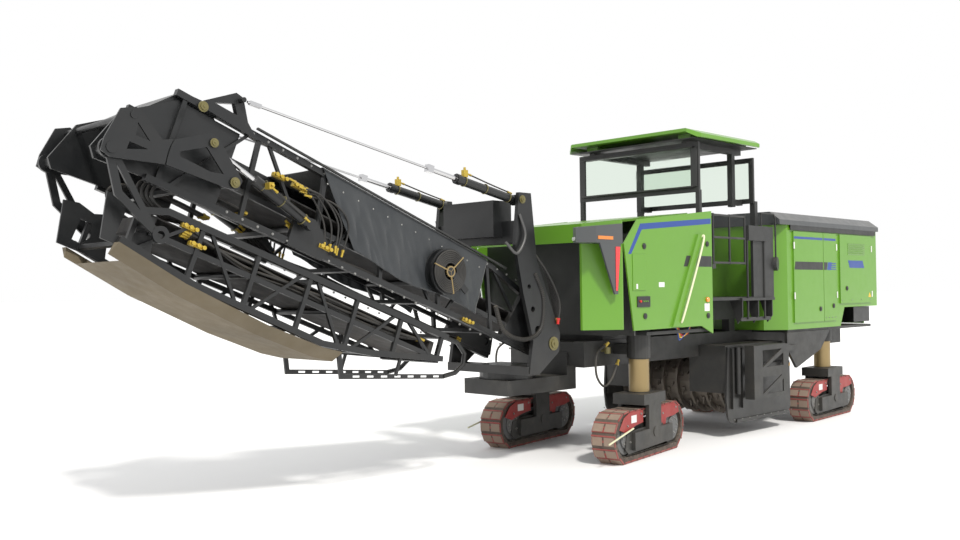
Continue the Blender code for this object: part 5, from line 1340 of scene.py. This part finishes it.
# %% The loop at the fold
loop_runs = []
for side, hand in SIDES:
    for k in range(4):
        x = side * (0.385 - 0.03 * k)
        loop_runs.append(
            [
                on_boom(x, 4.15, -0.13), on_boom(x, 4.6, -0.12), on_boom(x, 4.98 + 0.03 * k, -0.2),
                on_boom(x, 5.05 + 0.03 * k, -0.36), on_boom(x, 4.85, -0.44 - 0.01 * k),
                on_boom(x, 4.55, -0.4),
            ]
        )
hoses("fold_loop", "boom", loop_runs, 0.015)

# %% Cylinder fittings
for side, hand in SIDES:
    for node in (f"lift_barrel_{hand}", f"fold_barrel_{hand}"):
        low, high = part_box(node)
        shape, valve, x = bmesh.new(), bmesh.new(), (low.x + high.x) / 2
        lift = node.startswith("lift")
        front = Vector((x, low.y + 0.09, high.z - 0.07))
        back = Vector((x, high.y - 0.09, low.z + 0.07))
        line = (back - front).normalized()
        size = 0.054 if lift else 0.056
        for share in (0.06, 0.45, 0.9):
            spot = front.lerp(back, share)
            add_ring(shape, spot, line, size, 0.006)
        close_piece(shape, f"{node}_bands", node, OLIVE)
        spot = front.lerp(back, 0.08)
        up = Vector((0, 0, 1)) if lift else Vector((side, 0, 0))
        add_beam(valve, spot + up * 0.05, spot + up * 0.13, 0.05, 0.06)
        add_bar(valve, spot + up * 0.13, spot + up * 0.16, 0.014, 10)
        close_piece(valve, f"{node}_valve", node, ZINC, 0.003)
        hoses(
            f"{node}_line", node,
            [
                [
                    spot + up * 0.1 + line * 0.03, front.lerp(back, 0.3) + up * 0.09,
                    front.lerp(back, 0.6) + up * 0.075, back - line * 0.02 + up * 0.062,
                ]
            ],
            0.008,
        )

# %% [markdown]
# ## Lines at the column
# The column between the legs carries the lines that feed the boom. They leave a fitting block in
# bundles and sweep up beside the portal. Red and yellow fittings mark the circuits.

# %% Column lines
column_runs = []
for side, hand in SIDES:
    for k in range(6):
        x = side * (0.6 + 0.022 * k)
        column_runs.append(
            [
                at(x, -1.23 - 0.012 * k, 1.68), at(x, -1.26, 1.95),
                at(x - side * 0.02, -1.36 - 0.02 * k, 2.3), at(x - side * 0.08, -1.58 - 0.03 * k, 2.62),
                at(x - side * 0.14, -1.72, 2.78),
            ]
        )
hoses("column_lines", "slew_frame", [run for k, run in enumerate(column_runs) if k % 2 == 0], 0.0135)
hoses(
    "column_lines_red", "slew_frame", [run for k, run in enumerate(column_runs) if k % 2], 0.0135,
    SAFETY_RED,
)

# %% Loop beside the portal
LOOP = ((-1.66, 2.27), (-1.52, 1.98), (-1.58, 1.62), (-1.86, 1.52), (-2.19, 1.63), (-2.32, 1.91))
shape = bmesh.new()
ridges = []
for side, hand in SIDES:
    path = smooth_path([at(side * 0.69, y, z) for y, z in LOOP], 14)
    add_pipe(shape, path, 0.02, 14)
    for a, b in zip(path, path[1:]):
        ridges.append((a.lerp(b, 0.5), (b - a).normalized()))
for centre, ahead in ridges:
    add_bar(shape, centre - ahead * 0.006, centre + ahead * 0.006, 0.026, 14)
close_piece(shape, "corrugated_loops", "slew_frame", RUBBER)
SLING = ((0.7, -1.92, 2.95), (0.73, -1.86, 2.7), (0.73, -2.0, 2.5), (0.7, -2.15, 2.62))
shape = bmesh.new()
for side, hand in SIDES:
    add_pipe(shape, smooth_path([at(side * x, y, z) for x, y, z in SLING], 12), 0.017, 12)
close_piece(shape, "lifting_slings", "slew_frame", ROPE)

# %% Portal bolts and pins
portal = bmesh.new()
for side, hand in SIDES:
    for y, z, radius in ((-1.35, 1.45, 0.06), (-1.86, 3.12, 0.035)):
        add_pin_head(portal, at(side * 0.692, y, z), side, radius)
close_piece(portal, "portal_pins", "slew_frame", OLIVE)

# %% Leg hoses and tie rods
for side, hand in SIDES:
    leg = f"front_{hand}"
    loop = ((-0.5, 1.42), (-0.72, 1.3), (-0.74, 1.05), (-0.6, 0.9), (-0.44, 0.98), (-0.3, 1.2))
    hoses(f"leg_lines_{leg}", "chassis", [[at(side * 0.84, y, z) for y, z in loop]], 0.014)
tie = bmesh.new()
add_bar(tie, at(-0.72, -0.36, 1.32), at(0.72, -0.36, 1.32), 0.022, 16)
for side, hand in SIDES:
    add_bar(tie, at(side * 0.72, -0.36, 1.28), at(side * 0.72, -0.36, 1.36), 0.04, 18)
close_piece(tie, "tie_rod", "chassis", OLIVE)

# %% [markdown]
# ## Bolts, screen frame, grille and lamps
# The side plates are bolted on. The windscreen has a broad frame, the roof a dark liner, and the
# cooler at the back a grille of slats.

# %% Bolts round the body
for side, hand in SIDES:
    out = Vector((side, 0, 0))
    low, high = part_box(f"side_plate_{hand}")
    face = high.x if side > 0 else low.x
    plate_bolts = facing_all(
        row((face, low.y + 0.1, low.z + 0.06), (face, high.y - 0.1, low.z + 0.06), 9), out,
    )
    set_parts(f"side_plate_bolts_{hand}", f"side_plate_{hand}", plate_bolts, HEX_BOLT, BOLT_STEEL, 0.55)
    reflector = bmesh.new()
    x = face + side * 0.003
    add_block(
        reflector, (min(face, x), high.y - 0.3, high.z - 0.35), (max(face, x), high.y - 0.12, high.z - 0.3),
    )
    close_piece(reflector, f"side_plate_marker_{hand}", f"side_plate_{hand}", YELLOW)
    for name in ("door_middle", "door_rear"):
        low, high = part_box(f"{name}_{hand}")
        edge_bolts = facing_all(
            row((side * skin, low.y + 0.05, low.z + 0.05), (side * skin, high.y - 0.05, low.z + 0.05), 4),
            out,
        )
        set_parts(f"{name}_bolts_{hand}", f"{name}_{hand}", edge_bolts, HEX_BOLT, BOLT_STEEL, 0.6)
roof_low, roof_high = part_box("canopy_roof")
screen_low, screen_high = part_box("windshield_glass")
rim = bmesh.new()
corners = [
    (screen_low.x, screen_low.z), (screen_high.x, screen_low.z), (screen_high.x, screen_high.z),
    (screen_low.x, screen_high.z),
]
RIM_WIDTH = 0.1
for k in range(4):
    (x0, z0), (x1, z1) = corners[k], corners[(k + 1) % 4]
    add_beam(rim, (x0, screen_low.y - 0.02, z0), (x1, screen_low.y - 0.02, z1), RIM_WIDTH, 0.025)
close_piece(rim, "screen_rim", "chassis", CHARCOAL, 0.006)
liner = bmesh.new()
add_block(
    liner, (roof_low.x + 0.08, roof_low.y + 0.08, roof_low.z - 0.012),
    (roof_high.x - 0.08, roof_high.y - 0.08, roof_low.z - 0.001),
)
close_piece(liner, "roof_liner", "chassis", CHARCOAL)
turn = bmesh.new()
for side, hand in SIDES:
    add_bar(turn, at(side * skin, 1.08, 1.93), at(side * (skin + 0.025), 1.08, 1.93), 0.032, 22)
close_piece(turn, "side_turn_lamps", "chassis", ORANGE_LENS, 0.004)

# %% Rear grille
grille = bmesh.new()
for k in range(15):
    z = 2.12 + 0.05 * k
    add_beam(grille, at(-0.96, 6.365, z), at(0.96, 6.365, z), 0.03, 0.008)
for x in (-0.96, -0.32, 0.32, 0.96):
    add_beam(grille, at(x, 6.35, 2.08), at(x, 6.35, 2.87), 0.03, 0.02)
close_piece(grille, "rear_grille", "chassis", CHARCOAL)

# %% Wires below the front panels
for colour, material, shift in (("blue", BLUE, 0.0), ("yellow", YELLOW, 0.03), ("red", SAFETY_RED, 0.06)):
    shape = bmesh.new()
    for side, hand in SIDES:
        loop = (
            (1.17, 0.45 + shift, 1.6),
            (1.18, 0.5 + shift, 1.5),
            (1.16, 0.56 + shift, 1.42 + shift),
            (1.17, 0.68 + shift, 1.5),
            (1.17, 0.8, 1.6),
        )
        add_pipe(shape, smooth_path([at(side * x, y, z) for x, y, z in loop], 8), 0.008, 8)
    close_piece(shape, f"panel_wires_{colour}", "chassis", material)

# %% Beacon and rear lamps
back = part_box("rear_shell")[1].y
tail = bmesh.new()
for side, hand in SIDES:
    for z in (1.75, 1.87):
        add_bar(tail, (side * 0.9, back, z), (side * 0.9, back + 0.022, z), 0.045, 24)
close_piece(tail, "tail_lamps", "chassis", RED_LENS, 0.004)
beacon = bmesh.new()
add_bar(
    beacon, (-0.8, roof_high.y - 0.35, roof_high.z - 0.09), (-0.8, roof_high.y - 0.35, roof_high.z - 0.001),
    0.05, 24,
)
close_piece(beacon, "beacon", "chassis", ORANGE_LENS, 0.008)


# %% [markdown]
# ## Hose reel and tarpaulin rails
# The water hose is wound on the reel in close coils. Rails run along the tarpaulin's top edge, and
# studs hold its sides.

# %% Hose on the reel
REEL_U, REEL_V = 1.82, 0.2
REEL_SPOKE = 0.24
reel_low, reel_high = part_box("hose_reel")
coils, hub = bmesh.new(), bmesh.new()
reel_sides = [side for side in (1, -1) if (reel_high.x if side > 0 else -reel_low.x) > 0.4]
for side in reel_sides:
    face = reel_high.x if side > 0 else reel_low.x
    for k in range(7):
        add_ring(
            coils, on_boom(face - side * 0.012, REEL_U, REEL_V), (1, 0, 0), 0.1 + 0.02 * k, 0.0105, 36, 8,
        )
    add_bar(
        hub, on_boom(face - side * 0.02, REEL_U, REEL_V), on_boom(face - side * 0.001, REEL_U, REEL_V),
        0.06, 24,
    )
    for k in range(3):
        a = math.tau * k / 3
        add_bar(
            hub, on_boom(face - side * 0.008, REEL_U, REEL_V),
            on_boom(
                face - side * 0.008, REEL_U + REEL_SPOKE * math.cos(a), REEL_V + REEL_SPOKE * math.sin(a),
            ),
            0.009, 8,
        )
close_piece(coils, "reel_hose", "boom", RUBBER)
close_piece(hub, "reel_hub", "boom", BRONZE)

# %% Rails beside the tarpaulin
rails = bmesh.new()
studs = []
for side, hand in SIDES:
    add_beam(rails, on_boom(side * 0.535, 0.9, 0.6), on_boom(side * 0.535, 4.4, 0.6), 0.03, 0.02)
    studs += facing_all(
        row(on_boom(side * 0.524, 1.3, 0.46), on_boom(side * 0.524, 3.5, 0.46), 12), (side, 0, 0),
    )
close_piece(rails, "tarpaulin_rails", "boom", CHARCOAL, 0.003)
set_parts("tarpaulin_studs", "boom", studs, RIVET, BOLT_STEEL, 1.1)

# %% [markdown]
# ## Floor, light and camera
# A pale floor that runs out into a pale sky keeps the outline clear. One broad sun from the front
# left gives the crisp highlights of a clear day, and the sky fills the shadows. The camera stands
# at eye height off the machine's front left corner, looking slightly up.

# %% Floor and sky
shape = bmesh.new()
bmesh.ops.create_grid(shape, x_segments=1, y_segments=1, size=300)
floor_mesh = bpy.data.meshes.new("floor")
shape.to_mesh(floor_mesh)
shape.free()
floor = bpy.data.objects.new("floor", floor_mesh)
scene.collection.objects.link(floor)
floor.location.z = -0.004
pale = bpy.data.materials.new("pale_floor")
pale.use_nodes = True
pale.node_tree.nodes["Principled BSDF"].inputs["Base Color"].default_value = (0.86, 0.86, 0.86, 1)
pale.node_tree.nodes["Principled BSDF"].inputs["Roughness"].default_value = 0.9
floor_mesh.materials.append(pale)

world = bpy.data.worlds.new("pale sky")
world.use_nodes = True
world.node_tree.nodes["Background"].inputs["Color"].default_value = (1.0, 1.0, 1.0, 1)
world.node_tree.nodes["Background"].inputs["Strength"].default_value = 1.0
scene.world = world

sun_light = bpy.data.lights.new("sun", "SUN")
sun_light.energy = 2.8
sun_light.angle = math.radians(6)
sun_light.color = (1.0, 0.97, 0.92)
sun = bpy.data.objects.new("sun", sun_light)
sun.rotation_euler = (math.radians(42), math.radians(8), math.radians(58))
scene.collection.objects.link(sun)
scene.view_settings.view_transform = "Standard"

# %% Camera
CAMERA_HEIGHT = 2.08
CAMERA_PLACE = at(8.282, -10.092, CAMERA_HEIGHT)
CAMERA_HEADING = math.radians(45.2)
CAMERA_PITCH = math.radians(1.22)
CAMERA_ROLL = math.atan(0.0122)
camera_data = bpy.data.cameras.new("camera")
camera_data.lens = 36.75
camera_data.clip_end = 400
camera = bpy.data.objects.new("camera", camera_data)
level = Vector((-math.sin(CAMERA_HEADING), math.cos(CAMERA_HEADING), 0))
ahead = level * math.cos(CAMERA_PITCH) + Vector((0, 0, 1)) * math.sin(CAMERA_PITCH)
aim = ahead.to_track_quat("-Z", "Y").to_matrix().to_4x4()
roll = Matrix.Rotation(-CAMERA_ROLL, 4, "Z")
camera.matrix_world = Matrix.Translation(CAMERA_PLACE) @ aim @ roll
scene.collection.objects.link(camera)
scene.camera = camera
